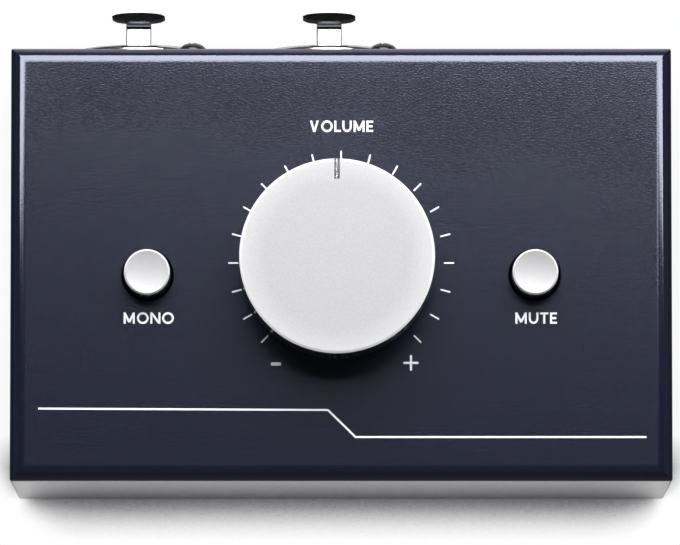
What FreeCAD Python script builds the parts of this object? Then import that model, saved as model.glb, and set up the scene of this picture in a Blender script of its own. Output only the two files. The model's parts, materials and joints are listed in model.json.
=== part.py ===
import FreeCAD, Part
import math
import os

import Sketcher

# Studio monitor controller: a folded steel case with a large volume knob, a mono and a mute button,
# two combination input sockets with release levers and two output jacks at the rear.
# Millimetres, +Z up, +Y towards the rear. The origin lies on the ground at the middle of the whole object.

doc = FreeCAD.newDocument("monitor_controller")
Vector = FreeCAD.Vector

# Driving dimensions, each with what it measures.
DIMENSIONS = [
    ("case_width", 115.0, "case, side to side"),
    ("case_depth", 75.6, "case, front to rear"),
    ("case_height", 43.0, "case, base to panel top"),
    ("sheet_gauge", 1.2, "steel sheet"),
    ("bend_radius", 2.5, "outside radius of the folds"),
    ("lip_width", 11.0, "folded lip, from the case side inwards"),
    ("lip_margin", 6.0, "corner relief at each end of a lip"),
    ("plate_gauge", 1.2, "base plate sheet"),
    ("plate_gap", 0.3, "base plate to the walls round it"),
    ("foot_radius", 5.0, "rubber foot"),
    ("foot_height", 2.5, "rubber foot"),
    ("foot_bevel", 0.7, "bevelled lower edge of a foot"),
    ("foot_inset_x", 17.0, "case side to foot centre"),
    ("foot_inset_y", 9.0, "case front or rear to foot centre"),
    ("fastener_sides", 12.0, "facets round a small screw"),
    ("foot_sides", 28.0, "facets round a foot or washer"),
    ("hidden_sides", 20.0, "facets round a larger hidden piece"),
    ("base_screw_radius", 1.5, "thread of a base screw"),
    ("base_screw_head", 2.5, "radius of the countersunk head"),
    ("base_screw_length", 6.0, "base screw, head included"),
    ("base_screw_inset_x", 7.0, "case side to base screw"),
    ("base_screw_inset_y", 14.0, "case front or rear to base screw"),
    ("weld_nut_flats", 5.5, "weld nut across flats"),
    ("weld_nut_height", 2.4, "weld nut"),
    ("fit_gap", 0.05, "radial clearance of a close fit"),
    ("overcut", 1.0, "run of a cut past the face it goes through"),
    ("hole_gap", 0.2, "radial clearance round a bushing, bezel or jack nose"),
    ("knob_offset", -0.7, "knob axis, to the right of the panel centre"),
    ("knob_radius", 17.0, "volume knob"),
    ("knob_height", 11.7, "volume knob, rim to top face"),
    ("knob_lift", 0.8, "panel to the knob's rim"),
    ("knob_chamfer", 0.6, "chamfer round the top face"),
    ("knob_wall", 2.6, "rim wall round the hollow"),
    ("knob_hollow", 5.2, "depth of the hollow under the knob"),
    ("knob_crown", 2.0, "metal above the insert's socket"),
    ("knob_boss", 8.4, "radius of the boss round the insert"),
    ("index_width", 0.9, "index groove"),
    ("index_length", 3.6, "index groove, from the rim inwards"),
    ("index_sink", 0.45, "index groove depth"),
    ("insert_radius", 6.0, "plastic insert in the knob"),
    ("insert_height", 6.0, "plastic insert"),
    ("shaft_radius", 3.0, "potentiometer shaft"),
    ("shaft_flat", 2.0, "axis to the flat of the shaft"),
    ("shaft_tip_gap", 0.6, "shaft end to the insert's closed end"),
    ("flat_margin", 0.5, "flat of the shaft below the insert"),
    ("bushing_radius", 3.5, "threaded bushing"),
    ("bushing_rise", 3.2, "bushing above the panel"),
    ("bushing_flange", 5.0, "radius of the bushing's flange"),
    ("washer_radius", 6.0, "washer under the nut"),
    ("washer_gauge", 0.5, "washer"),
    ("pot_nut_flats", 10.0, "bushing nut across flats"),
    ("pot_nut_height", 2.0, "bushing nut"),
    ("pot_width", 17.0, "potentiometer, side to side and front to rear"),
    ("pot_corner", 2.2, "cut corner of a deck"),
    ("pot_plate_gauge", 1.0, "front plate of the potentiometer"),
    ("pot_leg_width", 5.0, "clamping leg of the front plate"),
    ("deck_count", 4.0, "gangs"),
    ("deck_gap", 0.4, "groove between two decks"),
    ("lug_width", 2.4, "locating lug"),
    ("lug_offset", 7.0, "knob axis to the locating lug"),
    ("board_gauge", 1.6, "both circuit boards"),
    ("board_drop", 18.3, "panel underside to the control board"),
    ("board_side_gap", 10.0, "case side to the control board's edge"),
    ("board_front", 22.0, "panel centre to the control board's front edge"),
    ("board_joint", 0.6, "control board to rear board"),
    ("standoff_flats", 5.0, "hexagon standoff across flats"),
    ("standoff_inset_x", 14.0, "case side to a standoff"),
    ("standoff_front", 18.5, "panel centre to the front standoffs"),
    ("standoff_rear", 4.5, "panel centre to the rear standoffs"),
    ("board_screw_radius", 1.25, "thread of a board screw"),
    ("board_screw_head", 2.4, "radius of its pan head"),
    ("board_screw_length", 6.0, "board screw under its head"),
    ("button_spacing", 33.6, "panel centre to each button, sideways"),
    ("button_front", 2.1, "panel centre to the buttons, frontwards"),
    ("cap_radius", 4.0, "button cap"),
    ("cap_hole_gap", 0.6, "cap to its hole in the panel"),
    ("cap_rise", 5.5, "cap above the panel"),
    ("cap_height", 9.2, "button cap"),
    ("cap_chamfer", 0.5, "chamfer round the cap's top"),
    ("cap_dish", 0.45, "depth of the dished top"),
    ("cap_socket", 6.0, "depth of the plunger's socket"),
    ("button_travel", 3.0, "full travel of a button"),
    ("plunger_radius", 1.8, "switch plunger"),
    ("plunger_depth", 5.0, "plunger inside the switch at rest"),
    ("switch_width", 8.4, "push switch body"),
    ("switch_height", 10.0, "push switch body"),
    ("switch_corner", 0.7, "bevelled upright edge of a switch"),
    ("coil_radius", 3.0, "return spring, to the middle of the wire"),
    ("wire_gauge", 0.5, "return spring wire"),
    ("coil_turns", 4.0, "return spring"),
    ("coil_steps", 10.0, "straight lengths in one turn of the spring"),
    ("pin_width", 0.7, "square solder pin"),
    ("pin_pitch", 2.54, "pin spacing"),
    ("pin_proud", 1.2, "solder pin below or behind its board"),
    ("left_input_x", -35.5, "left input socket"),
    ("right_input_x", -2.1, "right input socket"),
    ("left_output_x", 24.5, "left output jack"),
    ("right_output_x", 44.0, "right output jack"),
    ("input_height", 24.0, "ground to the input sockets' axes"),
    ("output_height", 21.0, "ground to the output jacks' axes"),
    ("bezel_radius", 11.8, "round front of an input socket"),
    ("bezel_proud", 1.8, "bezel behind the rear wall"),
    ("bezel_bevel", 0.7, "bevelled bezel edge"),
    ("groove_radius", 9.6, "outside of the groove for the plug's sleeve"),
    ("core_radius", 7.9, "inside of that groove"),
    ("core_recess", 0.6, "core face behind the bezel face"),
    ("shell_depth", 15.2, "socket shell in front of the rear housing"),
    ("socket_depth", 26.2, "rear wall's outer face to the rear board"),
    ("flange_width", 26.0, "input socket flange"),
    ("flange_height", 31.0, "input socket flange"),
    ("flange_gauge", 1.6, "input socket flange"),
    ("flange_corner", 3.0, "input socket flange corner"),
    ("flange_screw_x", 9.5, "socket axis to its screws, sideways"),
    ("flange_screw_y", 12.0, "socket axis to its screws, upwards"),
    ("socket_screw_radius", 1.5, "thread of a socket screw"),
    ("socket_screw_head", 2.8, "radius of its domed head"),
    ("socket_screw_rise", 1.9, "height of its domed head"),
    ("socket_screw_length", 6.0, "socket screw under its head"),
    ("jack_bore", 3.25, "radius for a 6.35 mm plug"),
    ("contact_circle", 5.1, "radius of the three contact holes' circle"),
    ("contact_spread", 61.0, "upper contacts, degrees from the upright"),
    ("contact_hole", 1.25, "contact hole radius"),
    ("contact_depth", 12.0, "contact hole depth"),
    ("contact_wall", 0.3, "wall of a contact sleeve"),
    ("housing_width", 20.0, "rear housing of an input socket"),
    ("housing_height", 22.0, "rear housing of an input socket"),
    ("housing_wall", 2.0, "rear housing of an input socket"),
    ("leaf_gauge", 0.4, "jack spring sheet"),
    ("leaf_width", 3.0, "jack spring"),
    ("leaf_gap", 0.4, "jack spring to the plug"),
    ("leaf_spread", 1.2, "spring foot outside its tip"),
    ("lever_proud", 7.5, "lever behind the rear wall"),
    ("lever_travel", 2.5, "lever travel"),
    ("thumb_width", 9.2, "thumb plate"),
    ("thumb_rise", 2.4, "thumb plate above the stem"),
    ("thumb_drop", 0.8, "thumb plate below the stem"),
    ("stem_bend", 1.4, "inside radius between stem and thumb plate"),
    ("thumb_edge", 0.7, "thumb plate thickness at its ends"),
    ("thumb_crown", 0.9, "crown of the thumb plate"),
    ("stem_width", 4.2, "lever stem"),
    ("stem_gauge", 1.2, "lever stem"),
    ("stem_reach", 9.5, "stem in front of the wall's outer face"),
    ("slot_gap", 0.3, "lever stem to its slot"),
    ("latch_drop", 0.7, "latch nose into the sleeve groove"),
    ("latch_length", 1.6, "latch nose"),
    ("nose_radius", 5.4, "threaded nose of an output jack"),
    ("nose_proud", 1.8, "nose behind the rear wall"),
    ("jack_width", 15.0, "output jack body"),
    ("jack_height", 14.0, "output jack body"),
    ("jack_wall", 2.0, "output jack body"),
    ("jack_front", 11.0, "solid front of an output jack"),
    ("jack_nut_flats", 14.0, "output jack nut across flats"),
    ("jack_nut_height", 1.5, "output jack nut"),
    ("header_pins", 6.0, "pins between the boards"),
    ("header_x", -18.8, "middle of the header"),
    ("header_height", 2.5, "header strip"),
    ("chip_length", 3.2, "chip resistor"),
    ("chip_width", 1.6, "chip resistor"),
    ("chip_height", 0.6, "chip resistor"),
    ("chip_pitch", 3.4, "chip resistor spacing"),
    ("chip_count", 5.0, "chip resistors in each row"),
    ("chip_gap", 2.4, "between the two rows of chip resistors"),
]

# Places that follow from the driving dimensions.
DERIVED = [
    ("case_middle", "-lever_proud / 2", "panel centre, front to rear"),
    ("panel_top", "foot_height + case_height", "top face of the panel"),
    ("panel_under", "panel_top - sheet_gauge", "underside of the panel"),
    ("rear_face", "case_middle + case_depth / 2", "outer face of the rear wall"),
    ("front_face", "case_middle - case_depth / 2", "outer face of the front wall"),
    ("rear_inner", "rear_face - sheet_gauge", "inner face of the rear wall"),
    ("front_inner", "front_face + sheet_gauge", "inner face of the front wall"),
    ("lip_bottom", "foot_height + plate_gauge", "lips rest on the base plate"),
    ("lip_top", "lip_bottom + sheet_gauge", "upper face of the lips"),
    ("board_top", "panel_under - board_drop", "upper face of the control board"),
    ("board_under", "board_top - board_gauge", "lower face of the control board"),
    ("rear_board_rear", "rear_face - socket_depth", "face of the rear board that carries the sockets"),
    ("rear_board_front", "rear_board_rear - board_gauge", "other face of the rear board"),
    ("board_rear_edge", "rear_board_front - board_joint", "rear edge of the control board"),
    ("board_front_edge", "case_middle - board_front", "front edge of the control board"),
    ("button_y", "case_middle - button_front", "both buttons"),
    ("knob_bottom", "panel_top + knob_lift", "rim of the knob"),
    ("knob_top", "knob_bottom + knob_height", "top face of the knob"),
    ("insert_top", "knob_top - knob_crown", "closed end of the insert's socket"),
    ("shaft_top", "insert_top - shaft_tip_gap", "end of the shaft"),
    ("bushing_top", "panel_top + bushing_rise", "end of the bushing"),
    ("lug_rise", "sheet_gauge - fit_gap", "locating lug in the panel's slot"),
    ("pot_top", "panel_under - pot_plate_gauge", "upper face of the potentiometer plate's seat"),
    ("deck_pitch", "(pot_top - pot_plate_gauge - board_top) / deck_count", "one deck and its groove"),
    ("cap_top", "panel_top + cap_rise", "rim of a button cap"),
    ("cap_bottom", "cap_top - cap_height", "lower end of a button cap"),
    ("switch_top", "board_top + switch_height", "push switch"),
    ("plunger_bottom", "switch_top - plunger_depth", "lower end of the plunger"),
    ("plunger_top", "cap_bottom + cap_socket - fit_gap", "upper end of the plunger"),
    ("thumb_back", "lever_proud - thumb_crown - thumb_edge", "inner face of the thumb plate"),
    ("stem_low", "groove_radius", "stem runs just outside the sleeve groove"),
    ("socket_reach", "socket_depth - shell_depth - sheet_gauge", "length of the rear housing"),
    ("jack_reach", "socket_depth - sheet_gauge", "length of an output jack body"),
    ("contact_x", "contact_circle * sin(contact_spread * 1deg)", "upper contacts, sideways"),
    ("contact_y", "contact_circle * cos(contact_spread * 1deg)", "upper contacts, upwards"),
]

sizes = doc.addObject("Spreadsheet::Sheet", "Sizes")
row = 1
for alias, value, meaning in DIMENSIONS:
    sizes.set(f"A{row}", meaning)
    sizes.set(f"B{row}", str(value))
    sizes.setAlias(f"B{row}", alias)
    row += 1
doc.recompute()
for alias, formula, meaning in DERIVED:
    sizes.set(f"A{row}", meaning)
    sizes.set(f"B{row}", f"={formula}")
    sizes.setAlias(f"B{row}", alias)
    row += 1
doc.recompute()

NAMES = sorted([entry[0] for entry in DIMENSIONS + DERIVED], key=len, reverse=True)


def bound(expression):
    """Prefix each size's name with the sheet that holds it."""
    words = []
    word = ""
    for letter in expression + " ":
        if letter.isalnum() or letter == "_":
            word += letter
            continue
        words.append(f"Sizes.{word}" if word in NAMES else word)
        words.append(letter)
        word = ""
    return "".join(words).strip()


def size(expression):
    """The number that an expression of sizes comes to."""
    return float(sizes.evalExpression(bound(expression)))


pieces = []


def place(piece, x="0", y="0", z="0", facing_rear=False):
    """Set a piece down at a point; facing rear, its own Z points to the rear and its own Y up."""
    if facing_rear:
        piece.Placement = FreeCAD.Placement(Vector(), FreeCAD.Rotation(Vector(0, 1, 1), 180))
    for direction, expression in (("x", x), ("y", y), ("z", z)):
        piece.setExpression(f"Placement.Base.{direction}", bound(expression))
    return piece


def body(label, **where):
    """A new piece made by sketches and features."""
    piece = doc.addObject("PartDesign::Body", label)
    piece.Label = label
    pieces.append(piece)
    return place(piece, **where)


def plane_of(piece, role):
    """One of a body's own origin planes."""
    for feature in piece.Origin.OriginFeatures:
        if feature.Role == role:
            return feature
    raise ValueError(role)


def new_sketch(piece, role="XY_Plane", height="0"):
    """An empty sketch on an origin plane, moved along the plane's normal."""
    sketch = piece.newObject("Sketcher::SketchObject", f"{piece.Label}_sketch")
    sketch.AttachmentSupport = [(plane_of(piece, role), "")]
    sketch.MapMode = "FlatFace"
    sketch.setExpression("AttachmentOffset.Base.z", bound(height))
    return sketch


def constrain(sketch, joints, dimensions):
    """Join the lines of a sketch and bind each dimension to the sheet."""
    rules = [Sketcher.Constraint(*joint) for joint in joints]
    for kind, expression, geometry in dimensions:
        rules.append(Sketcher.Constraint(kind, *geometry, size(expression)))
    indices = sketch.addConstraint(rules)
    for index, (_, expression, _) in zip(indices[len(joints):], dimensions):
        sketch.setExpression(f"Constraints[{index}]", bound(expression))


def arc_between(start, end, radius):
    """An arc; a positive radius bulges to the right of the way, a negative one to the left."""
    chord = end - start
    half = chord.Length / 2
    middle = (start + end) * 0.5
    side = Vector(-chord.y, chord.x, 0).normalize()
    rise = math.sqrt(max(radius * radius - half * half, 0))
    centre = middle + side * (rise if radius > 0 else -rise)
    first, last = (start, end) if radius > 0 else (end, start)
    begin = math.atan2(first.y - centre.y, first.x - centre.x)
    finish = math.atan2(last.y - centre.y, last.x - centre.x)
    return Part.ArcOfCircle(Part.Circle(centre, Vector(0, 0, 1), abs(radius)), begin, finish)


def outline(sketch, points, arcs=None):
    """Close the points; arcs gives a run's radius expression and its side, right (1) or left (-1)."""
    arcs = arcs or {}
    spots = [Vector(size(across), size(up), 0) for across, up in points]
    first = sketch.GeometryCount
    count = len(points)
    lines = []
    for run in range(count):
        start, end = spots[run], spots[(run + 1) % count]
        if run in arcs:
            radius, side = arcs[run]
            lines.append(arc_between(start, end, size(radius) * side))
        else:
            lines.append(Part.LineSegment(start, end))
    sketch.addGeometry(lines, False)

    def tips(run):
        turned = run in arcs and arcs[run][1] < 0
        return (2, 1) if turned else (1, 2)

    joints = []
    dimensions = []
    for run, (across, up) in enumerate(points):
        before = (run - 1) % count
        here = first + run
        joints.append(("Coincident", first + before, tips(before)[1], here, tips(run)[0]))
        dimensions.append(("DistanceX", across, (-1, 1, here, tips(run)[0])))
        dimensions.append(("DistanceY", up, (-1, 1, here, tips(run)[0])))
    for run, (radius, _) in arcs.items():
        dimensions.append(("Radius", radius, (first + run,)))
    constrain(sketch, joints, dimensions)


def rectangle(sketch, left, right, low, high):
    outline(sketch, [(left, low), (right, low), (right, high), (left, high)])


def circle(sketch, across, up, radius):
    centre = Vector(size(across), size(up), 0)
    index = sketch.addGeometry(Part.Circle(centre, Vector(0, 0, 1), size(radius)), False)
    constrain(sketch, [], [("Radius", radius, (index,)), ("DistanceX", across, (-1, 1, index, 3)),
                           ("DistanceY", up, (-1, 1, index, 3))])


def hexagon(sketch, across_flats):
    """A hexagon round the origin with two flats across the X axis."""
    corner = f"({across_flats}) / sqrt(3)"
    half = f"({across_flats}) / 2"
    tip = f"({corner}) / 2"
    points = [(f"-({tip})", f"-({half})"), (tip, f"-({half})"), (corner, "0"),
              (tip, half), (f"-({tip})", half), (f"-({corner})", "0")]
    outline(sketch, points)


def octagon(sketch, across_flats, x="0", y="0"):
    """An octagon with two flats across each axis."""
    half = f"({across_flats}) / 2"
    cut = f"{half} * tan(22.5 * 1deg)"
    spots = [(cut, f"-{half}"), (half, f"-{cut}"), (half, cut), (cut, half),
             (f"-{cut}", half), (f"-{half}", cut), (f"-{half}", f"-{cut}"), (f"-{cut}", f"-{half}")]
    outline(sketch, [(f"{x} + {across}", f"{y} + {up}") for across, up in spots])


def many_sided(sketch, radius, round_it=False):
    """A regular polygon with its corners on a radius, or with its flats outside it."""
    sides = round(size("hidden_sides"))
    corner = f"({radius}) / cos(180 * 1deg / hidden_sides)" if round_it else f"({radius})"
    points = []
    for index in range(sides):
        turn = f"{index + 0.5} * 360 * 1deg / hidden_sides"
        points.append((f"{corner} * cos({turn})", f"{corner} * sin({turn})"))
    outline(sketch, points)


def pad(piece, sketch, length, back=False):
    feature = piece.newObject("PartDesign::Pad", f"{piece.Label}_pad")
    feature.Profile = sketch
    feature.Reversed = back
    feature.setExpression("Length", bound(length))
    return feature


cuts = []


def pocket(piece, sketch, length, back=False):
    """Cut a sketch into the piece; every cut is later tested to take something away."""
    base = piece.Tip
    feature = piece.newObject("PartDesign::Pocket", f"{piece.Label}_pocket")
    feature.Profile = sketch
    feature.Reversed = back
    feature.setExpression("Length", bound(length))
    cuts.append((feature, base))
    return feature


def revolve(piece, sketch, upright=True):
    """Turn a sketch round its own upright or level axis."""
    feature = piece.newObject("PartDesign::Revolution", f"{piece.Label}_turn")
    feature.Profile = sketch
    feature.ReferenceAxis = (sketch, ["V_Axis" if upright else "H_Axis"])
    feature.Angle = 360
    return feature


def turned(label, points, arcs=None, **where):
    """A piece turned round its own Z axis from a half profile of radius and height."""
    piece = body(label, **where)
    profile = new_sketch(piece, "XZ_Plane")
    outline(profile, points, arcs)
    revolve(piece, profile)
    return piece


def edges_where(piece, wanted):
    """Names of the edges of a piece's present shape that a test picks."""
    doc.recompute()
    shape = piece.Tip.Shape
    return [f"Edge{index + 1}" for index, edge in enumerate(shape.Edges) if wanted(edge)]


def dress(piece, kind, wanted, amount):
    """Fillet or chamfer the edges that a test picks."""
    names = edges_where(piece, wanted)
    base = piece.Tip
    feature = piece.newObject(f"PartDesign::{kind}", f"{piece.Label}_{kind.lower()}")
    feature.Base = (base, names)
    feature.setExpression("Radius" if kind == "Fillet" else "Size", bound(amount))
    return feature


def close_to(value, expression):
    return abs(value - size(expression)) < 0.001


def upright(edge):
    return len(edge.Vertexes) == 2 and abs(edge.tangentAt(edge.FirstParameter).z) > 0.999


def level_at(edge, expression):
    box = edge.BoundBox
    return close_to(box.ZMin, expression) and close_to(box.ZMax, expression)


def primitive(kind, name, **settings):
    """A plain solid of the document; settings bind its sizes, and x, y and z its place."""
    solid = doc.addObject(f"Part::{kind}", name)
    for setting, expression in settings.items():
        path = f"Placement.Base.{setting}" if setting in ("x", "y", "z") else setting
        solid.setExpression(path, bound(expression))
    return solid


def joined(label, parts, kind="MultiFuse"):
    """Several solids as one object: fused, or side by side in a compound."""
    if kind == "Compound":
        result = doc.addObject("Part::Compound", label)
        result.Links = parts
    else:
        result = doc.addObject("Part::MultiFuse", label)
        result.Shapes = parts
        result.Refine = True
    return result


def group(label, parts):
    """Like pieces that share one node, each a solid of its own."""
    piece = joined(label, parts, "Compound")
    piece.Label = label
    pieces.append(piece)
    return piece


def ring_of_corners(radius, height, sides):
    if radius == 0:
        return [Vector(0, 0, height)]
    corners = []
    for index in range(sides):
        turn = 2 * math.pi * index / sides
        corners.append(Vector(radius * math.cos(turn), radius * math.sin(turn), height))
    return corners


def closed_wire(corners):
    return Part.makePolygon(corners + corners[:1])


def faceted(name, points, x="0", y="0", z="0", sides="fastener_sides", facing_rear=False):
    """A small turned piece made of flat facets, from a half profile of radius and height."""
    count = round(size(sides))
    rings = [ring_of_corners(size(radius), size(height), count) for radius, height in points]
    faces = []
    for lower, upper in zip(rings, rings[1:] + rings[:1]):
        if len(lower) == 1 and len(upper) == 1:
            continue
        if lower[0].z == upper[0].z:
            wires = [closed_wire(ring) for ring in (lower, upper) if len(ring) > 1]
            faces.append(Part.makeFace(wires, "Part::FaceMakerBullseye"))
            continue
        for index in range(count):
            following = (index + 1) % count
            corners = [lower[index % len(lower)], lower[following % len(lower)],
                       upper[following % len(upper)], upper[index % len(upper)]]
            distinct = [corner for place_in, corner in enumerate(corners) if corner != corners[place_in - 1]]
            faces.append(Part.Face(closed_wire(distinct)))
    shell = Part.Shell(faces)
    shell.sewShape()
    solid = Part.Solid(shell)
    if solid.Volume < 0:
        solid.reverse()
    piece = doc.addObject("Part::Feature", name)
    piece.Shape = solid
    place(piece, x=x, y=y, z=z, facing_rear=facing_rear)
    return piece


# Case: one folded sheet forms the panel and four walls, with a lip folded in along each side.

def make_top_cover():
    cover = body("top_cover", y="case_middle", z="foot_height")
    blank = new_sketch(cover)
    rectangle(blank, "-case_width / 2", "case_width / 2", "-case_depth / 2", "case_depth / 2")
    pad(cover, blank, "case_height")
    dress(cover, "Fillet", lambda edge: level_at(edge, "case_height"), "bend_radius")
    doc.recompute()
    floor = [f"Face{index + 1}" for index, face in enumerate(cover.Tip.Shape.Faces)
             if close_to(face.BoundBox.ZMax, "0")]
    base = cover.Tip
    walls = cover.newObject("PartDesign::Thickness", "cover_walls")
    walls.Base = (base, floor)
    walls.Reversed = True
    walls.setExpression("Value", bound("sheet_gauge"))

    reliefs = new_sketch(cover, "YZ_Plane", "-case_width / 2 - overcut")
    rectangle(reliefs, "-case_depth / 2 + lip_margin", "case_depth / 2 - lip_margin",
              "-overcut", "plate_gauge + bend_radius")
    pocket(cover, reliefs, "case_width + 2 * overcut", back=True)

    lips = new_sketch(cover, "XZ_Plane", "-case_depth / 2 + lip_margin")
    outer = "case_width / 2"
    inner = "case_width / 2 - sheet_gauge"
    low = "plate_gauge"
    high = "plate_gauge + sheet_gauge"
    bend = "plate_gauge + bend_radius"
    for side, turn in (("", 1), ("-", -1)):
        fold = f"{side}(case_width / 2 - bend_radius)"
        end = f"{side}(case_width / 2 - lip_width)"
        points = [(f"{side}({outer})", bend), (f"{side}({inner})", bend),
                  (fold, high), (end, high), (end, low), (fold, low)]
        arcs = {1: ("bend_radius - sheet_gauge", -turn), 5: ("bend_radius", turn)}
        outline(lips, points, arcs)
    pad(cover, lips, "case_depth - 2 * lip_margin")

    top = new_sketch(cover, "XY_Plane", "case_height")
    circle(top, "knob_offset", "0", "bushing_radius + hole_gap")
    rectangle(top, "knob_offset - lug_offset - pot_plate_gauge / 2 - fit_gap",
              "knob_offset - lug_offset + pot_plate_gauge / 2 + fit_gap",
              "-lug_width / 2 - fit_gap", "lug_width / 2 + fit_gap")
    circle(top, "-button_spacing", "-button_front", "cap_radius + cap_hole_gap")
    circle(top, "button_spacing", "-button_front", "cap_radius + cap_hole_gap")
    pocket(cover, top, "sheet_gauge + overcut")

    rear = new_sketch(cover, "XZ_Plane", "-case_depth / 2")
    for middle in ("left_input_x", "right_input_x"):
        axis = "input_height - foot_height"
        circle(rear, middle, axis, "bezel_radius + hole_gap")
        screw_hole = "2 * (socket_screw_radius + hole_gap)"
        octagon(rear, screw_hole, f"{middle} + flange_screw_x", f"{axis} + flange_screw_y")
        octagon(rear, screw_hole, f"{middle} - flange_screw_x", f"{axis} - flange_screw_y")
    for middle in ("left_output_x", "right_output_x"):
        circle(rear, middle, "output_height - foot_height", "nose_radius + hole_gap")
    pocket(cover, rear, "sheet_gauge + overcut", back=True)

    lip_holes = new_sketch(cover, "XY_Plane", "plate_gauge")
    for x, y in base_screw_spots("0"):
        octagon(lip_holes, "2 * (base_screw_radius + hole_gap)", x, y)
    pocket(cover, lip_holes, "sheet_gauge", back=True)


def base_screw_spots(middle="case_middle"):
    """The four base screws, front to rear about the case's middle."""
    spots = []
    for side in ("-", ""):
        for end in ("-", "+"):
            x = f"{side}(case_width / 2 - base_screw_inset_x)"
            spots.append((x, f"{middle} {end} (case_depth / 2 - base_screw_inset_y)"))
    return spots


def make_base_plate():
    plate = body("base_plate", y="case_middle", z="foot_height")
    sheet = new_sketch(plate)
    half_width = "case_width / 2 - sheet_gauge - plate_gap"
    half_depth = "case_depth / 2 - sheet_gauge - plate_gap"
    rectangle(sheet, f"-({half_width})", half_width, f"-({half_depth})", half_depth)
    pad(plate, sheet, "plate_gauge")
    spots = new_sketch(plate)
    for x, y in base_screw_spots("0"):
        circle(spots, x, y, "base_screw_radius + fit_gap")
    doc.recompute()
    holes = plate.newObject("PartDesign::Hole", "base_plate_holes")
    holes.Profile = spots
    holes.Reversed = True
    holes.DepthType = "ThroughAll"
    holes.HoleCutType = "Countersink"
    holes.HoleCutCountersinkAngle = 90
    holes.setExpression("Diameter", bound("2 * (base_screw_radius + fit_gap)"))
    holes.setExpression("HoleCutDiameter", bound("2 * (base_screw_head + fit_gap)"))


def make_base_fasteners():
    screws = []
    nuts = []
    for index, (x, y) in enumerate(base_screw_spots()):
        head = [("0", "0"), ("base_screw_head", "0"),
                ("base_screw_radius", "base_screw_head - base_screw_radius"),
                ("base_screw_radius", "base_screw_length"), ("0", "base_screw_length")]
        screws.append(faceted(f"base_screw_{index + 1}", head, x, y, "foot_height"))
        nut = doc.addObject("PartDesign::Body", f"weld_nut_{index + 1}")
        place(nut, x=x, y=y, z="lip_top")
        flats = new_sketch(nut)
        hexagon(flats, "weld_nut_flats")
        octagon(flats, "2 * (base_screw_radius + fit_gap)")
        pad(nut, flats, "weld_nut_height")
        nuts.append(nut)
    group("base_screws", screws)
    group("weld_nuts", nuts)


def make_feet():
    across = "(case_width / 2 - foot_inset_x)"
    for end, y in (("front", "front_face + foot_inset_y"), ("rear", "rear_face - foot_inset_y")):
        for side, x in (("left", f"-{across}"), ("right", across)):
            profile = [("0", "0"), ("foot_radius - foot_bevel", "0"), ("foot_radius", "foot_bevel"),
                       ("foot_radius", "foot_height"), ("0", "foot_height")]
            foot = faceted(f"foot_{end}_{side}", profile, x, y, sides="foot_sides")
            pieces.append(foot)


# Volume control: a four-gang potentiometer hangs from the panel by its bushing nut.

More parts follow.
